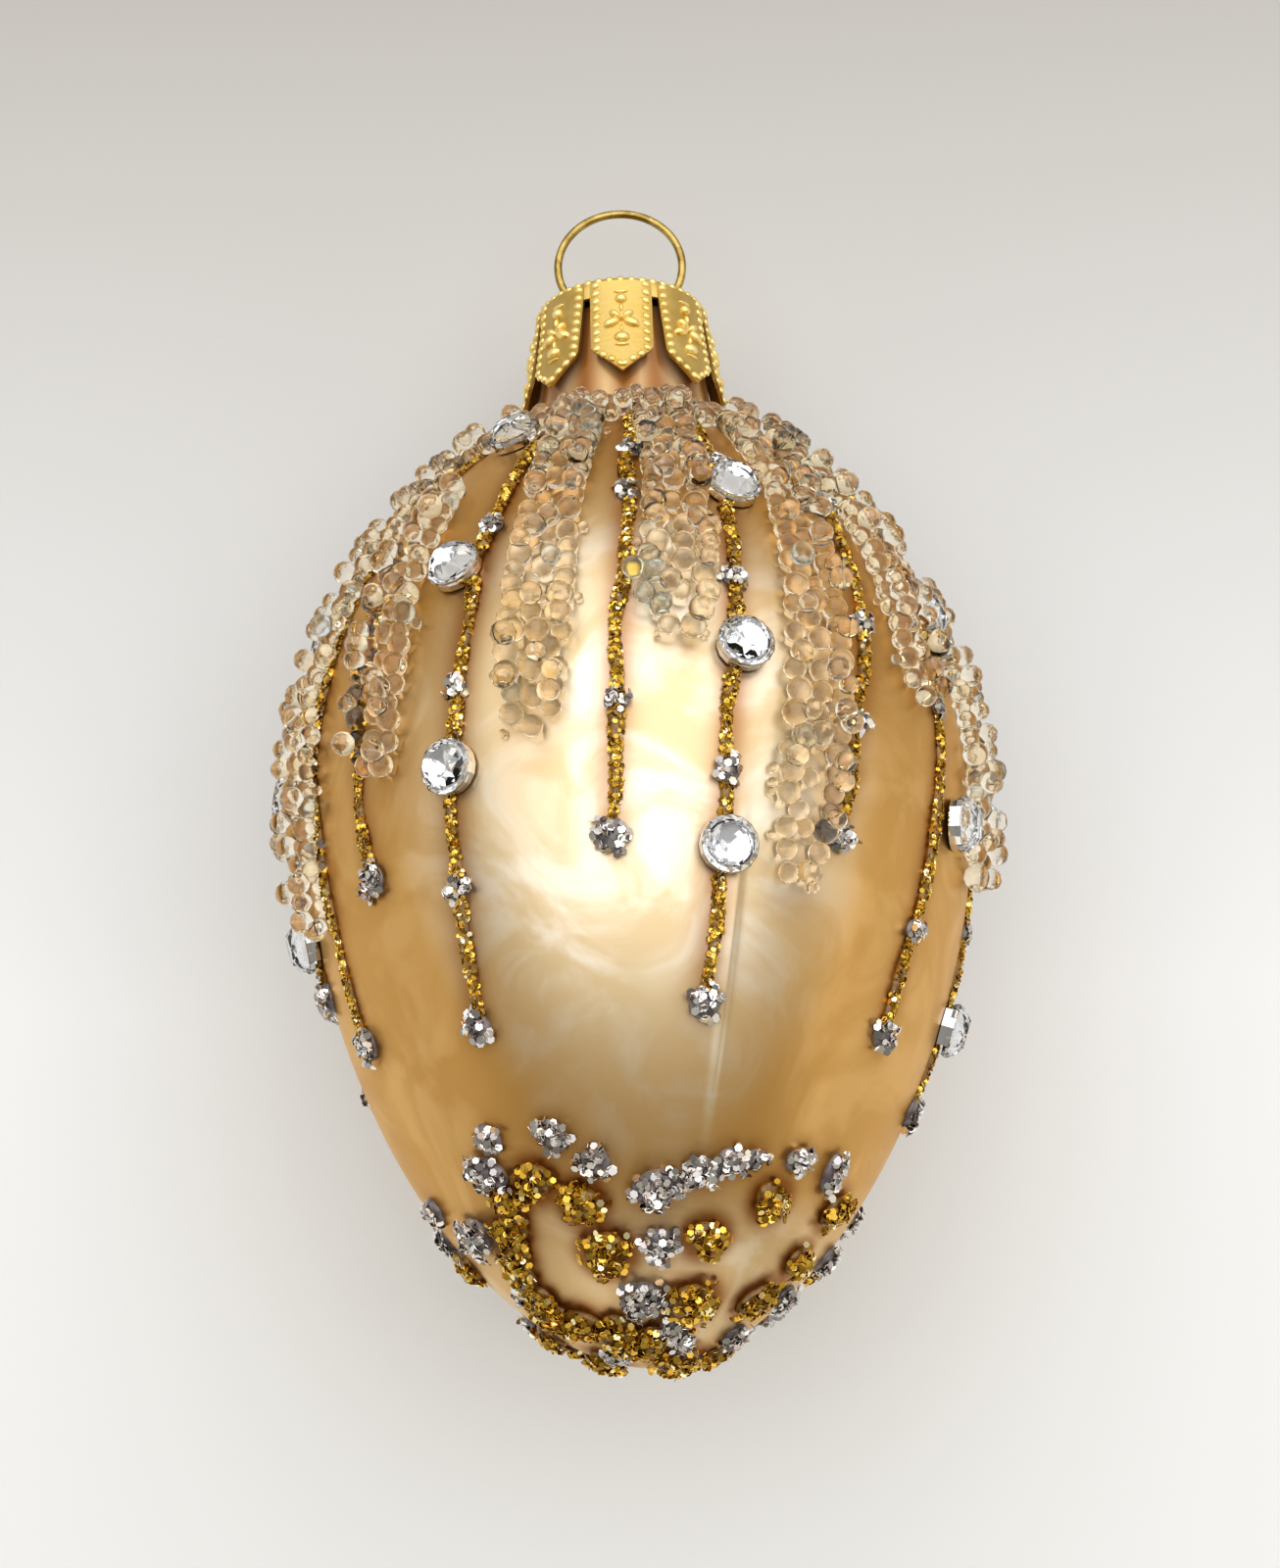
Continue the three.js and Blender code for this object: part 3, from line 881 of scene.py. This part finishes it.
def strand_balls(rng, length):
    """Places across, along and off the glass, and radii, for one strand's balls."""
    across, walk = [], []
    for number, row in enumerate(np.arange(0.8 * MM, length - 0.7 * MM, 1.36 * MM)):
        half = strand_width(row / length) - 0.8 * MM
        count = max(1, round(2 * half / (1.55 * MM)) + number % 2)
        places = np.linspace(-half, half, count) if count > 1 else np.zeros(1)
        across.extend(places + rng.normal(0.15 * MM, 0.28 * MM, count))
        walk.extend(row + rng.normal(0, 0.28 * MM, count))
    radius = BALL_RADIUS * rng.uniform(0.76, 1.1, len(across))
    across, walk = pushed_apart(np.array(across), np.array(walk), radius, strand_width, length)
    return across, walk, radius * 0.94, radius


def stray_balls(rng, length):
    """A few very small balls that the strand left along its edges."""
    count = int(length / (5 * MM))
    walk = rng.uniform(0.1, 1, count) * length
    across = rng.choice([-1, 1], count) * (strand_width(walk / length) + 0.1 * MM)
    radius = rng.uniform(0.25, 0.45, count) * MM
    return across, walk, radius * 0.9, radius


def nested_on_top(rng, across, walk, share):
    """A second layer: a share of the balls again, set into the hollows between two neighbours."""
    chosen = rng.permutation(len(across))[: int(share * len(across))]
    gaps = np.hypot(across - across[chosen, None], walk - walk[chosen, None])
    neighbour = np.argsort(gaps, axis=1)[:, 1]
    radius = BALL_RADIUS * rng.uniform(0.8, 1.05, len(chosen))
    lift = 0.94 * BALL_RADIUS + 1.2 * radius
    return (across[chosen] + across[neighbour]) / 2, (walk[chosen] + walk[neighbour]) / 2, lift, radius


def lay_balls(name, rng, heights, azimuths, lifts, radii, bluish=0):
    """One piece of balls on the glass, none of them lower than the table. The last few may be milky ones."""
    places = to_rest(on_glass(heights, azimuths, lifts))
    places[:, 2] += np.clip(radii - places[:, 2], 0, None)
    spins = [np.array(Matrix.Rotation(a, 3, "X") @ Matrix.Rotation(b, 3, "Z"))
             for a, b in rng.uniform(0, 6.28, (len(radii), 2))]
    piece = spread_copies(name, BALL, places, spins, np.repeat(radii[:, None], 3, 1))
    milky = rng.uniform(size=len(radii)) < MILKY_SHARE
    milky[len(radii) - bluish :] = True
    slots = np.repeat(milky, len(BALL.data.polygons)).astype(np.int32)
    piece.data.polygons.foreach_set("material_index", slots)
    wear(piece, CLEAR, MILKY)
    return piece


# %% The strands
# A few bluish balls of the fourth strand have strayed over the gold line beside it: height, azimuth, radius.
SPILT_FROM = 4
SPILT_BALLS = [(49.4, 0.8, 0.85), (48.9, 4.2, 0.95), (47.4, 2.4, 0.8), (50.6, 3.2, 0.8), (46.6, 5.0, 0.75)]


def bead_strand(number, run):
    """One hanging strand of balls."""
    rng = np.random.default_rng(100 + number)
    top_azimuth, end_azimuth, top, end = run
    start = walk_of(top * MM) - (0.9 * MM if top > 67 else 0)
    length = walk_of(end * MM) - start
    across, walk, lift, radius = strand_balls(rng, length)
    layers = [(across, walk, lift, radius), stray_balls(rng, length)]
    underneath = abs(top_azimuth - 180) < 30
    if not underneath:
        layers.append(nested_on_top(rng, across, walk, 0.45))
    across, walk, lift, radius = (np.concatenate(layer) for layer in zip(*layers))
    heights = height_of(start + walk)
    line = top_azimuth + (end_azimuth - top_azimuth) * walk / length
    azimuths = line + np.degrees(across / glass_radius(heights))
    spilt = np.array(SPILT_BALLS if number == SPILT_FROM else []).reshape(-1, 3)
    heights = np.append(heights, spilt[:, 0] * MM)
    azimuths = np.append(azimuths, spilt[:, 1])
    lift = np.append(lift, (spilt[:, 2] + 0.3) * MM)
    radius = np.append(radius, spilt[:, 2] * MM)
    name = f"bead_strand_{number:02d}"
    piece = lay_balls(name + "_balls", rng, heights, azimuths, lift, radius, len(spilt))
    finish_piece(piece, "clear_glass_beads", name)
    return len(radius)


ball_count = sum(bead_strand(number, run) for number, run in enumerate(STRANDS, 1))
print("strands hold", ball_count, "balls")


# %% The collar
COLLAR_ROWS = 4


def bead_collar():
    """The ring of balls round the foot of the neck, two deep in places."""
    rng = np.random.default_rng(7)
    top, bottom = walk_of(COLLAR_TOP), walk_of(COLLAR_BOTTOM)
    balls = []
    for row in range(COLLAR_ROWS):
        walk = top + 2.9 * MM + (bottom - top - 1.6 * MM) * row / (COLLAR_ROWS - 1)
        around = 2 * math.pi * (glass_radius(height_of(walk)) + 0.4 * MM)
        count = int(around / (1.78 * MM))
        for i in range(count):
            height = height_of(walk + rng.normal(0, 0.22 * MM))
            azimuth = 360 * (i + 0.5 * (row % 2) + rng.normal(0, 0.1)) / count
            radius = BALL_RADIUS * rng.uniform(0.84, 1.05)
            balls.append((height, azimuth, radius * 0.94, radius))
            if row > 1 and rng.uniform() < 0.4:
                radius = BALL_RADIUS * rng.uniform(0.8, 0.98)
                balls.append((height_of(walk + 0.8 * MM), azimuth + 180 / count, 1.9 * MM, radius))
    piece = lay_balls("bead_collar_balls", rng, *np.array(balls).T)
    finish_piece(piece, "clear_glass_beads", "bead_collar")
    print("collar holds", len(balls), "balls")


bead_collar()

# %% [markdown]
# ## The crystal stones
#
# A foiled stone is clear in front and mirrored behind. The crown is the convex hull of a girdle, a ring of
# eight corners and an eight-sided table, which gives the real stone's kite and star facets. The foil is a
# dish of twisted facets set inside the crown, so that they flash through the glass.

# %% One stone
STONE_RADIUS = 2.05 * MM
STONE_HEIGHT = 1.95 * MM


def stone_crown():
    """The clear crown: rings of corners joined by a convex hull."""
    deselect()
    bpy.ops.mesh.primitive_circle_add(vertices=16, radius=0.95 * STONE_RADIUS, location=(0, 0, 0.5 * MM))
    crown = bpy.context.object
    bpy.ops.object.transform_apply(location=True)
    edit(crown)
    rings = [(16, 1.0, 0.8 * MM, 0), (16, 0.985, 0.98 * MM, 0), (8, 0.8, 1.5 * MM, 22.5),
             (8, 0.55, STONE_HEIGHT, 0)]
    for corners, share, height, turned in rings:
        bpy.ops.mesh.primitive_circle_add(
            vertices=corners, radius=share * STONE_RADIUS, location=(0, 0, height),
            rotation=(0, 0, math.radians(turned)),
        )
    bpy.ops.mesh.select_all(action="SELECT")
    bpy.ops.mesh.convex_hull()
    tidy_normals(crown)
    wear(crown, CRYSTAL, MIRROR)
    set_slot(crown, 0)
    return crown


def stone_foil():
    """The foil behind it: a thick disc whose top is sunk in facets."""
    deselect()
    bpy.ops.mesh.primitive_cylinder_add(
        vertices=16, radius=0.93 * STONE_RADIUS, depth=0.9 * MM, location=(0, 0, 0.45 * MM)
    )
    foil = bpy.context.object
    bpy.ops.object.transform_apply(location=True)
    edit(foil, "FACE")
    pick(foil, "faces", lambda face: face.calc_center_median().z > 0.8 * MM)
    half_facet = math.radians(360 / 16 / 2)
    for depth in (-0.34 * MM, -0.16 * MM):
        bpy.ops.mesh.inset(thickness=0.6 * MM, depth=depth)
        bpy.ops.transform.rotate(value=half_facet, orient_axis="Z", center_override=(0, 0, 0))
    bpy.ops.mesh.poke(offset=-0.26 * MM)
    bpy.ops.mesh.select_all(action="SELECT")
    bpy.ops.mesh.quads_convert_to_tris()
    tidy_normals(foil)
    wear(foil, CRYSTAL, MIRROR)
    set_slot(foil, 1)
    return foil


STONE = join("stone_model", [stone_crown(), stone_foil()])
print("one stone has", len(STONE.data.polygons), "faces")


# %% Setting the stones
def seat_of(spot):
    """Height and azimuth on the glass under a spot in the egg's frame."""
    azimuth = math.degrees(math.atan2(spot[0], spot[2]))
    heights = np.linspace(1 * MM, 72 * MM, 1500)
    away = np.linalg.norm(on_glass(heights, azimuth, 0.9 * MM) - spot, axis=-1)
    return heights[away.argmin()], azimuth


stone_rng = np.random.default_rng(23)
stone_names = sorted(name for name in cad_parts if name.startswith("crystal_stone"))
stone_seats = []
for name in stone_names:
    height, azimuth = seat_of(to_egg(np.mean(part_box(name), axis=0)))
    stone_seats.append(on_glass(height, azimuth))
    height, azimuth = np.array([height]), np.array([azimuth])
    turns = tilted(frames_on_glass(height, azimuth), stone_rng, 3)
    seat = to_rest(on_glass(height, azimuth, 0.1 * MM))
    stone = spread_copies(name + "_cut", STONE, seat, REST_TURN @ turns, np.ones((1, 3)))
    wear(stone, CRYSTAL, MIRROR)
    finish_piece(stone, "crystal_stones", name)
print("set", len(stone_names), "stones")

# %% [markdown]
# ## The glitter
#
# Glitter is metal-coated film punched into hexagons, stuck in glue. Each line is a low ridge of amber glue
# with hundreds of flakes on it, and each dot or dab is a small dome of glue. A flake has eight faces, and
# carries its own number, so that no two neighbours have quite the same shade.

# %% One flake
def flake_model():
    """A hexagonal flake, 1 unit in radius, to be scaled as it is copied."""
    deselect()
    bpy.ops.mesh.primitive_cylinder_add(vertices=6, radius=1.0, depth=0.16)
    return bpy.context.object


FLAKE = flake_model()
FINE_FLAKE = 0.185 * MM
COARSE_FLAKE = 0.3 * MM
FOOT_GOLD_FLAKE = 0.27 * MM


# %% The glitter lines
def ridge_model(sides=10, cells=60):
    """A long round bar, 2 units across and 1 unit long, with a ring of corners at every cell."""
    deselect()
    bpy.ops.mesh.primitive_cylinder_add(vertices=sides, radius=1.0, depth=1.0)
    bar = bpy.context.object
    edit(bar, "EDGE")
    pick(bar, "edges", lambda edge: abs(edge.verts[0].co.z - edge.verts[1].co.z) > 0.5)
    bpy.ops.mesh.subdivide_edgering(number_cuts=cells - 1, interpolation="LINEAR")
    deselect()
    return bar


BAR = ridge_model()
RIDGE_HALF_WIDTH = 0.45 * MM
RIDGE_HEIGHT = 0.38 * MM
FLAKES_PER_MM = 23
FLAKE_TILT = 28
GOLD = (GOLD_GLUE, GOLD_FLAKE)
SILVER = (SILVER_GLUE, SILVER_FLAKE)


def under_stone(heights, azimuths):
    """Which places on the glass a stone covers."""
    spots = on_glass(heights, azimuths)
    gaps = [np.linalg.norm(spots - seat, axis=-1) for seat in stone_seats]
    return np.min(gaps, axis=0) < STONE_RADIUS


def line_places(line, fraction):
    """Height, azimuth and thickness of a glitter line at fractions of its length from the top."""
    top, end = walk_of(line[2] * MM), walk_of(line[3] * MM)
    heights = height_of(top + (end - top) * fraction)
    seed = line[0]
    wander = 0.22 * MM * np.sin(14 * fraction + seed) + 0.1 * MM * np.sin(31 * fraction + 2 * seed)
    azimuths = line_azimuth(line, heights) + np.degrees(wander / glass_radius(heights))
    thickness = 1 + 0.18 * np.sin(23 * fraction + seed) + 0.12 * np.sin(57 * fraction)
    return heights, azimuths, np.where(under_stone(heights, azimuths), 0.4, thickness)


def glued(name, glue, flakes, finishes, slot):
    """Flakes and the glue under them as one piece, with the glue in its first slot."""
    for number, part in enumerate((glue, flakes)):
        wear(part, *finishes)
        set_slot(part, number)
    finish_piece(join(name, [glue, flakes]), slot)


def glitter_line(number, line):
    """One line: a ridge of glue and the flakes stuck on it."""
    rng = np.random.default_rng(300 + number)
    glue = copy_of(BAR)
    points = vertices_of(glue)
    heights, azimuths, thickness = line_places(line, 0.5 - points[:, 2])
    aside = points[:, 0] * RIDGE_HALF_WIDTH * thickness
    lift = np.where(points[:, 1] > 0, points[:, 1] * RIDGE_HEIGHT * thickness, -0.1 * MM)
    azimuths = azimuths + np.degrees(aside / glass_radius(heights))
    move_vertices(glue, to_rest(on_glass(heights, azimuths, lift)))
    tidy_normals(glue)
    smooth(glue)

    length = walk_of(line[3] * MM) - walk_of(line[2] * MM)
    count = int(length / MM * FLAKES_PER_MM)
    heights, azimuths, thickness = line_places(line, rng.uniform(0, 1, count))
    slope = rng.uniform(-75, 75, count)
    aside = np.sin(np.radians(slope)) * RIDGE_HALF_WIDTH * thickness * 1.05
    lift = np.cos(np.radians(slope)) * RIDGE_HEIGHT * thickness + 0.03 * MM
    azimuths = azimuths + np.degrees(aside / glass_radius(heights))
    lean = [np.array(Matrix.Rotation(math.radians(angle * 0.7), 3, "Y")) for angle in slope]
    turns = tilted(frames_on_glass(heights, azimuths) @ np.array(lean), rng, FLAKE_TILT)
    scales = np.repeat(FINE_FLAKE * rng.uniform(0.7, 1.15, (count, 1)), 3, 1)
    places = to_rest(on_glass(heights, azimuths, lift))
    flakes = spread_copies("flakes", FLAKE, places, REST_TURN @ turns, scales, rng.uniform(0, 1, count))
    glued(f"gold_glitter_line_{number:02d}", glue, flakes, GOLD, "gold_glitter")


for number, line in enumerate(LINES, 1):
    glitter_line(number, line)


# %% Dabs of glitter
def dome_model():
    """A low dome of glue, 1 unit in radius: a ball pressed flat below."""
    deselect()
    bpy.ops.mesh.primitive_ico_sphere_add(subdivisions=3, radius=1.0)
    dome = bpy.context.object
    edit(dome, action="SELECT")
    bpy.ops.mesh.bisect(plane_co=(0, 0, -0.15), plane_no=(0, 0, 1), clear_inner=True, use_fill=True)
    tidy_normals(dome)
    smooth(dome, 50)
    return dome


DOME = dome_model()
FLAKE_COVER = 2.1


def glitter_dabs(name, dabs, flake, finishes, slot, seed):
    """Domes of glue covered in flakes. Each dab is a height, an azimuth, a radius and a stretch, in mm."""
    rng = np.random.default_rng(seed)
    height, azimuth, radius, stretch = np.array(dabs, float).T
    height, radius = height * MM, radius * MM
    turns = tilted(frames_on_glass(height, azimuth), rng, 0.5)
    scales = np.stack([radius * 0.8 * stretch, radius * 0.8 / stretch, radius * 0.42], -1)
    middles = on_glass(height, azimuth)
    glue = spread_copies("domes", DOME, to_rest(middles), REST_TURN @ turns, scales)
    places, tips = [], []
    for i in range(len(dabs)):
        count = int(FLAKE_COVER * (radius[i] / flake) ** 2)
        spread = np.sqrt(rng.uniform(0, 1, count))
        angle = rng.uniform(0, 2 * np.pi, count)
        lumps = 1 + 0.14 * np.sin(3 * angle + i) + 0.1 * np.sin(5 * angle + 2 * i)
        local = np.stack([spread * np.cos(angle) * lumps * 1.2, spread * np.sin(angle) * lumps * 1.2,
                          np.sqrt(np.clip(1 - spread**2, 0, 1))], -1) * scales[i]
        local[:, 2] += 0.06 * MM + rng.uniform(0, 0.3 * MM, count)
        places.append(middles[i] + local @ turns[i].T)
        for j in range(count):
            steep = math.radians(42) * spread[j] ** 2
            outwards = Matrix.Rotation(angle[j], 3, "Z") @ Matrix.Rotation(steep, 3, "Y")
            tips.append(turns[i] @ np.array(outwards))
    places = to_rest(np.concatenate(places))
    tips = tilted(np.array(tips), rng, FLAKE_TILT)
    sizes = np.repeat(flake * rng.uniform(0.8, 1.1, (len(places), 1)), 3, 1)
    flakes = spread_copies("flakes", FLAKE, places, REST_TURN @ tips, sizes, rng.uniform(0, 1, len(places)))
    glued(name, glue, flakes, finishes, slot)
    print(name, "has", len(places), "flakes")


# %% Silver dots on the lines
dot_rng = np.random.default_rng(40)
line_dots = []
for line in LINES:
    for height in line[4]:
        azimuth = line_azimuth(line, height * MM)
        size = 1.4 if height == line[4][0] else 1.08
        line_dots.append((height, azimuth, size * dot_rng.uniform(0.9, 1.1), dot_rng.uniform(0.9, 1.1)))
glitter_dabs("silver_dots", line_dots, COARSE_FLAKE, SILVER, "silver_glitter", 41)

# %% Dabs round the foot
glitter_dabs("silver_foot_glitter", SILVER_DABS, COARSE_FLAKE, SILVER, "silver_glitter", 51)
glitter_dabs("gold_foot_glitter", GOLD_DABS, FOOT_GOLD_FLAKE, GOLD, "gold_glitter", 52)

# %% [markdown]
# ## The crown cap
#
# The cap is stamped from thin sheet: a shallow cup with a rolled top edge, and eight pointed leaves that
# spring against the neck. The leaf is modelled once, flat, from a grid. Rows of raised pearls, a flower and
# two studs are set on it, and then leaf and pearls are bent to the cap's slope together and copied round.

# %% The cup
CAP_TOP = 84.4 * MM
CAP_TOP_RADIUS = 6.9 * MM
CAP_TIP = 75.2 * MM
CAP_TIP_RADIUS = 8.2 * MM
LEAVES = 8
SCALLOPS = 48
LEG_SPREAD = 2.2 * MM
WIRE_RADIUS = 0.33 * MM
# The cup's section, over the rolled edge and back underneath: mm in from the edge, and mm below the top.
CUP_SECTION = [
    (6.9, 0.45), (1.35, 0.45), (1.0, 0.3), (0.8, 0.05), (0.5, 0), (0.2, 0.05), (0.04, 0.3), (0, 0.7),
    (-0.04, 1.7), (0.28, 1.7), (0.3, 0.9), (0.55, 0.5), (0.9, 0.75), (6.9, 0.75),
]


def cap_cup():
    """The top of the cap: a sunk disc, a rolled edge and a short skirt, pierced for the wire."""
    section = [(CAP_TOP_RADIUS - inset * MM, CAP_TOP - drop * MM) for inset, drop in CUP_SECTION]
    cup = spin_round(profile_chain(section, "cap_cup"), 96)
    for side in (-1, 1):
        deselect()
        bpy.ops.mesh.primitive_cylinder_add(
            vertices=24, radius=WIRE_RADIUS + 0.25 * MM, depth=3 * MM,
            location=(side * LEG_SPREAD, CAP_TOP - 0.5 * MM, 0), rotation=(math.pi / 2, 0, 0),
        )
        punch = bpy.context.object
        apply_modifier(cup, "BOOLEAN", operation="DIFFERENCE", object=punch, solver="EXACT")
        bpy.data.objects.remove(punch)
    # Painted shade: the cup is a little darker than the raised pearls.
    store_number(cup, "relief", np.full(len(cup.data.vertices), 0.55))
    smooth(cup, 35)
    return cup


# %% One leaf
LEAF_HALF_WIDTH = 2.58 * MM
LEAF_LENGTH = 9.1 * MM
LEAF_POINT = 2.35 * MM
# The relief on a leaf, in mm: the pearls' half width, how far down the flower is, and what is on the middle
# line, each as x, how far down, half length, half width, height and turn in degrees.
PEARL = 0.3
FLOWER = 3.85
LEAF_STUDS = [
    (0, 1.85, 0.5, 0.46, 0.4, 0), (0, 1.15, 0.62, 0.15, 0.18, 0), (0, 2.75, 0.17, 0.42, 0.24, 0),
    (0, FLOWER, 0.22, 0.22, 0.4, 0), (0, 5.75, 0.66, 0.5, 0.42, 0), (0, 6.5, 0.62, 0.15, 0.2, 0),
    (0, 4.85, 0.14, 0.36, 0.18, 0),
]


def leaf_sheet():
    """The flat leaf: a grid whose lower rows draw in to a point, thickened, with painted shade towards its
    edge.
    """
    deselect()
    bpy.ops.mesh.primitive_grid_add(x_subdivisions=10, y_subdivisions=22, size=1.0)
    leaf = bpy.context.object
    points = vertices_of(leaf)
    down = (0.5 - points[:, 1]) * (LEAF_LENGTH - 0.02 * MM)
    half = np.minimum(LEAF_HALF_WIDTH, (LEAF_LENGTH - down) * LEAF_HALF_WIDTH / LEAF_POINT)
    move_vertices(leaf, np.stack([points[:, 0] * 2 * half, -down, 0 * down], -1))
    apply_modifier(leaf, "SOLIDIFY", thickness=0.3 * MM, offset=-1)
    points = vertices_of(leaf)
    edge = np.minimum(LEAF_HALF_WIDTH, (LEAF_LENGTH + points[:, 1]) * LEAF_HALF_WIDTH / LEAF_POINT)
    inside = edge - np.abs(points[:, 0])
    # Painted shade: the flat sheet is darker than the raised pearls, and darker still towards its edge.
    store_number(leaf, "relief", np.clip(0.4 - 0.25 * np.clip(1 - inside / (0.9 * MM), 0, 1), 0, 1))
    return leaf


def raised(places, sizes, angles):
    """Pearls and petals: one low dome copied, each with its own length, width and height."""
    deselect()
    bpy.ops.mesh.primitive_uv_sphere_add(segments=10, ring_count=6, radius=1.0)
    dome = bpy.context.object
    smooth(dome)
    turns = [np.array(Matrix.Rotation(math.radians(angle), 3, "Z")) for angle in angles]
    pearls = spread_copies("pearls", dome, places, turns, sizes)
    bpy.data.objects.remove(dome)
    # Painted highlight: raised pearls and petals take the brightest foil colour.
    store_number(pearls, "relief", np.full(len(pearls.data.vertices), 1.0))
    return pearls


def leaf_relief():
    """The pearls down both sides and round the point, a flower, and a stud above and below it."""
    border = LEAF_HALF_WIDTH / MM - 0.5
    straight = (LEAF_LENGTH - LEAF_POINT) / MM
    rows = list(LEAF_STUDS)
    for side in (-1, 1):
        for down in np.arange(0.3, straight + 0.2, 0.8):
            rows.append((side * border, down, PEARL * 1.25, PEARL, PEARL * 0.65, -30 * side))
        for share in (0.25, 0.25 + 1 / 3, 0.25 + 2 / 3):
            x, down = side * border * (1 - share), straight + 0.25 + share * 1.55
            rows.append((x, down, PEARL * 1.25, PEARL, PEARL * 0.8, side * 42))
    for angle, size in ((38, 0.85), (142, 0.85), (205, 1.15), (335, 1.15)):
        x, y = (0.78 * size * turn(math.radians(angle)) for turn in (math.cos, math.sin))
        rows.append((x, FLOWER - y, 0.68 * size, 0.38 * size, 0.4, angle))
    x, down, long, wide, high, angle = np.array(rows).T
    places = np.stack([x, -down, 0 * x], -1) * MM
    return raised(places, np.stack([long, wide, high], -1) * MM, angle)


def leaf_model():
    """One leaf with its relief, bent to the cap's slope, facing azimuth 0."""
    leaf = join("cap_leaf", [leaf_sheet(), leaf_relief()])
    flat = vertices_of(leaf)
    along = np.clip(-flat[:, 1] / LEAF_LENGTH, 0, 1.05)
    radius = CAP_TOP_RADIUS + 0.06 * MM + (CAP_TIP_RADIUS - CAP_TOP_RADIUS - 0.1 * MM) * along**1.25
    height = CAP_TOP - 0.4 * MM + (CAP_TIP - CAP_TOP + 0.4 * MM) * along
    angle = flat[:, 0] / radius * 0.96
    out = radius + flat[:, 2]
    bent = np.stack([out * np.sin(angle), height, out * np.cos(angle)], -1)
    bent[:, 2] -= 0.05 * MM * (flat[:, 0] / LEAF_HALF_WIDTH) ** 2
    move_vertices(leaf, bent)
    tidy_normals(leaf)
    smooth(leaf, 40)
    return leaf


# %% The whole cap
def crown_cap():
    """The cup, eight leaves, and the scalloped edge of pearls, as one piece."""
    leaf = leaf_model()
    parts = [cap_cup()]
    for i in range(LEAVES):
        parts.append(copy_of(leaf))
        parts[-1].data.transform(Matrix.Rotation(i * 2 * math.pi / LEAVES, 4, "Y"))
    bpy.data.objects.remove(leaf)
    angles = np.radians(np.arange(SCALLOPS) * 360 / SCALLOPS)
    reach = CAP_TOP_RADIUS - 0.3 * MM
    places = np.stack([reach * np.sin(angles), 0 * angles + CAP_TOP - 0.24 * MM, reach * np.cos(angles)], -1)
    parts.append(raised(places, np.full((SCALLOPS, 3), 0.36 * MM), 0 * angles))
    for part in parts:
        wear(part, FOIL)
    cap = join("crown_cap_stamped", parts)
    cap.data.transform(REST)
    finish_piece(cap, "stamped_gold_cap", "crown_cap")
    print("cap has", len(cap.data.polygons), "faces")


crown_cap()

# %% [markdown]
# ## The wire ring
#
# One springy wire: its legs spread inside the neck to hold the cap on, come up through two holes, and meet in
# a ring. It is a curve with a round bevel, made a mesh once its route is right.

# %% Ring
RING_RADIUS = 5.05 * MM
RING_HEIGHT = 89.6 * MM


def wire_route():
    """The wire's route, from one leg's tip round the ring to the other's."""
    half = [(LEG_SPREAD + out * MM, CAP_TOP + up * MM)
            for out, up in ((1.6, -9.35), (0.35, -3.85), (0, -1.05), (0, 0.15))]
    for angle in np.radians(np.linspace(-58, 90, 17)):
        half.append((RING_RADIUS * math.cos(angle), RING_HEIGHT + RING_RADIUS * math.sin(angle)))
    return [*half, *((-x, y) for x, y in reversed(half[:-1]))]


def hanger_wire():
    """The ring and its legs."""
    data = bpy.data.curves.new("hanger_wire", "CURVE")
    data.dimensions = "3D"
    data.bevel_depth = WIRE_RADIUS
    data.bevel_resolution = 5
    data.resolution_u = 6
    data.use_fill_caps = True
    route = wire_route()
    spline = data.splines.new("BEZIER")
    spline.bezier_points.add(len(route) - 1)
    for bend, (x, y) in zip(spline.bezier_points, route):
        bend.co = (x, y, 0)
        bend.handle_left_type = bend.handle_right_type = "AUTO"
    wire = add_object("hanger_loop_wire", data)
    only(wire)
    bpy.ops.object.convert(target="MESH")
    wire = bpy.context.object
    wire.data.transform(REST)
    tidy_normals(wire)
    smooth(wire, 60)
    wear(wire, WIRE)
    finish_piece(wire, "ring_wire", "hanger_loop")


hanger_wire()

# %% [markdown]
# ## Table and tidying up
#
# The models that were copied are deleted, and a pale table is laid under the egg.

# %% Table
for model in (BALL, STONE, FLAKE, BAR, DOME):
    bpy.data.objects.remove(model)


def pale_table():
    """A matt off-white table, very slightly cloudy, with painted shade that makes it greyer towards its far
    end.
    """
    deselect()
    bpy.ops.mesh.primitive_grid_add(x_subdivisions=8, y_subdivisions=8, size=3.0, location=(0, 0, 0))
    table = bpy.context.object
    table.name = "table"
    material, tree, shader = new_finish("table_paper", Roughness=0.75)
    clouds = place_group(tree, MOTTLE, Scale=6, Distortion=0.5)
    near = mix_colours(tree, clouds, (0.88, 0.895, 0.893, 1), (0.9, 0.915, 0.913, 1))
    place = tree.nodes.new("ShaderNodeTexCoord").outputs["Object"]
    split = add_node(tree, "ShaderNodeSeparateXYZ", Vector=place)
    away = add_node(tree, "ShaderNodeMapRange", Value=split.outputs["Y"], From_Min=-0.02, From_Max=0.08)
    # Painted shade: the far part of the table is mixed towards grey.
    far = (0.435, 0.42, 0.387, 1)
    fill(tree, shader, Base_Color=mix_colours(tree, away.outputs["Result"], near, far))
    wear(table, material)


pale_table()
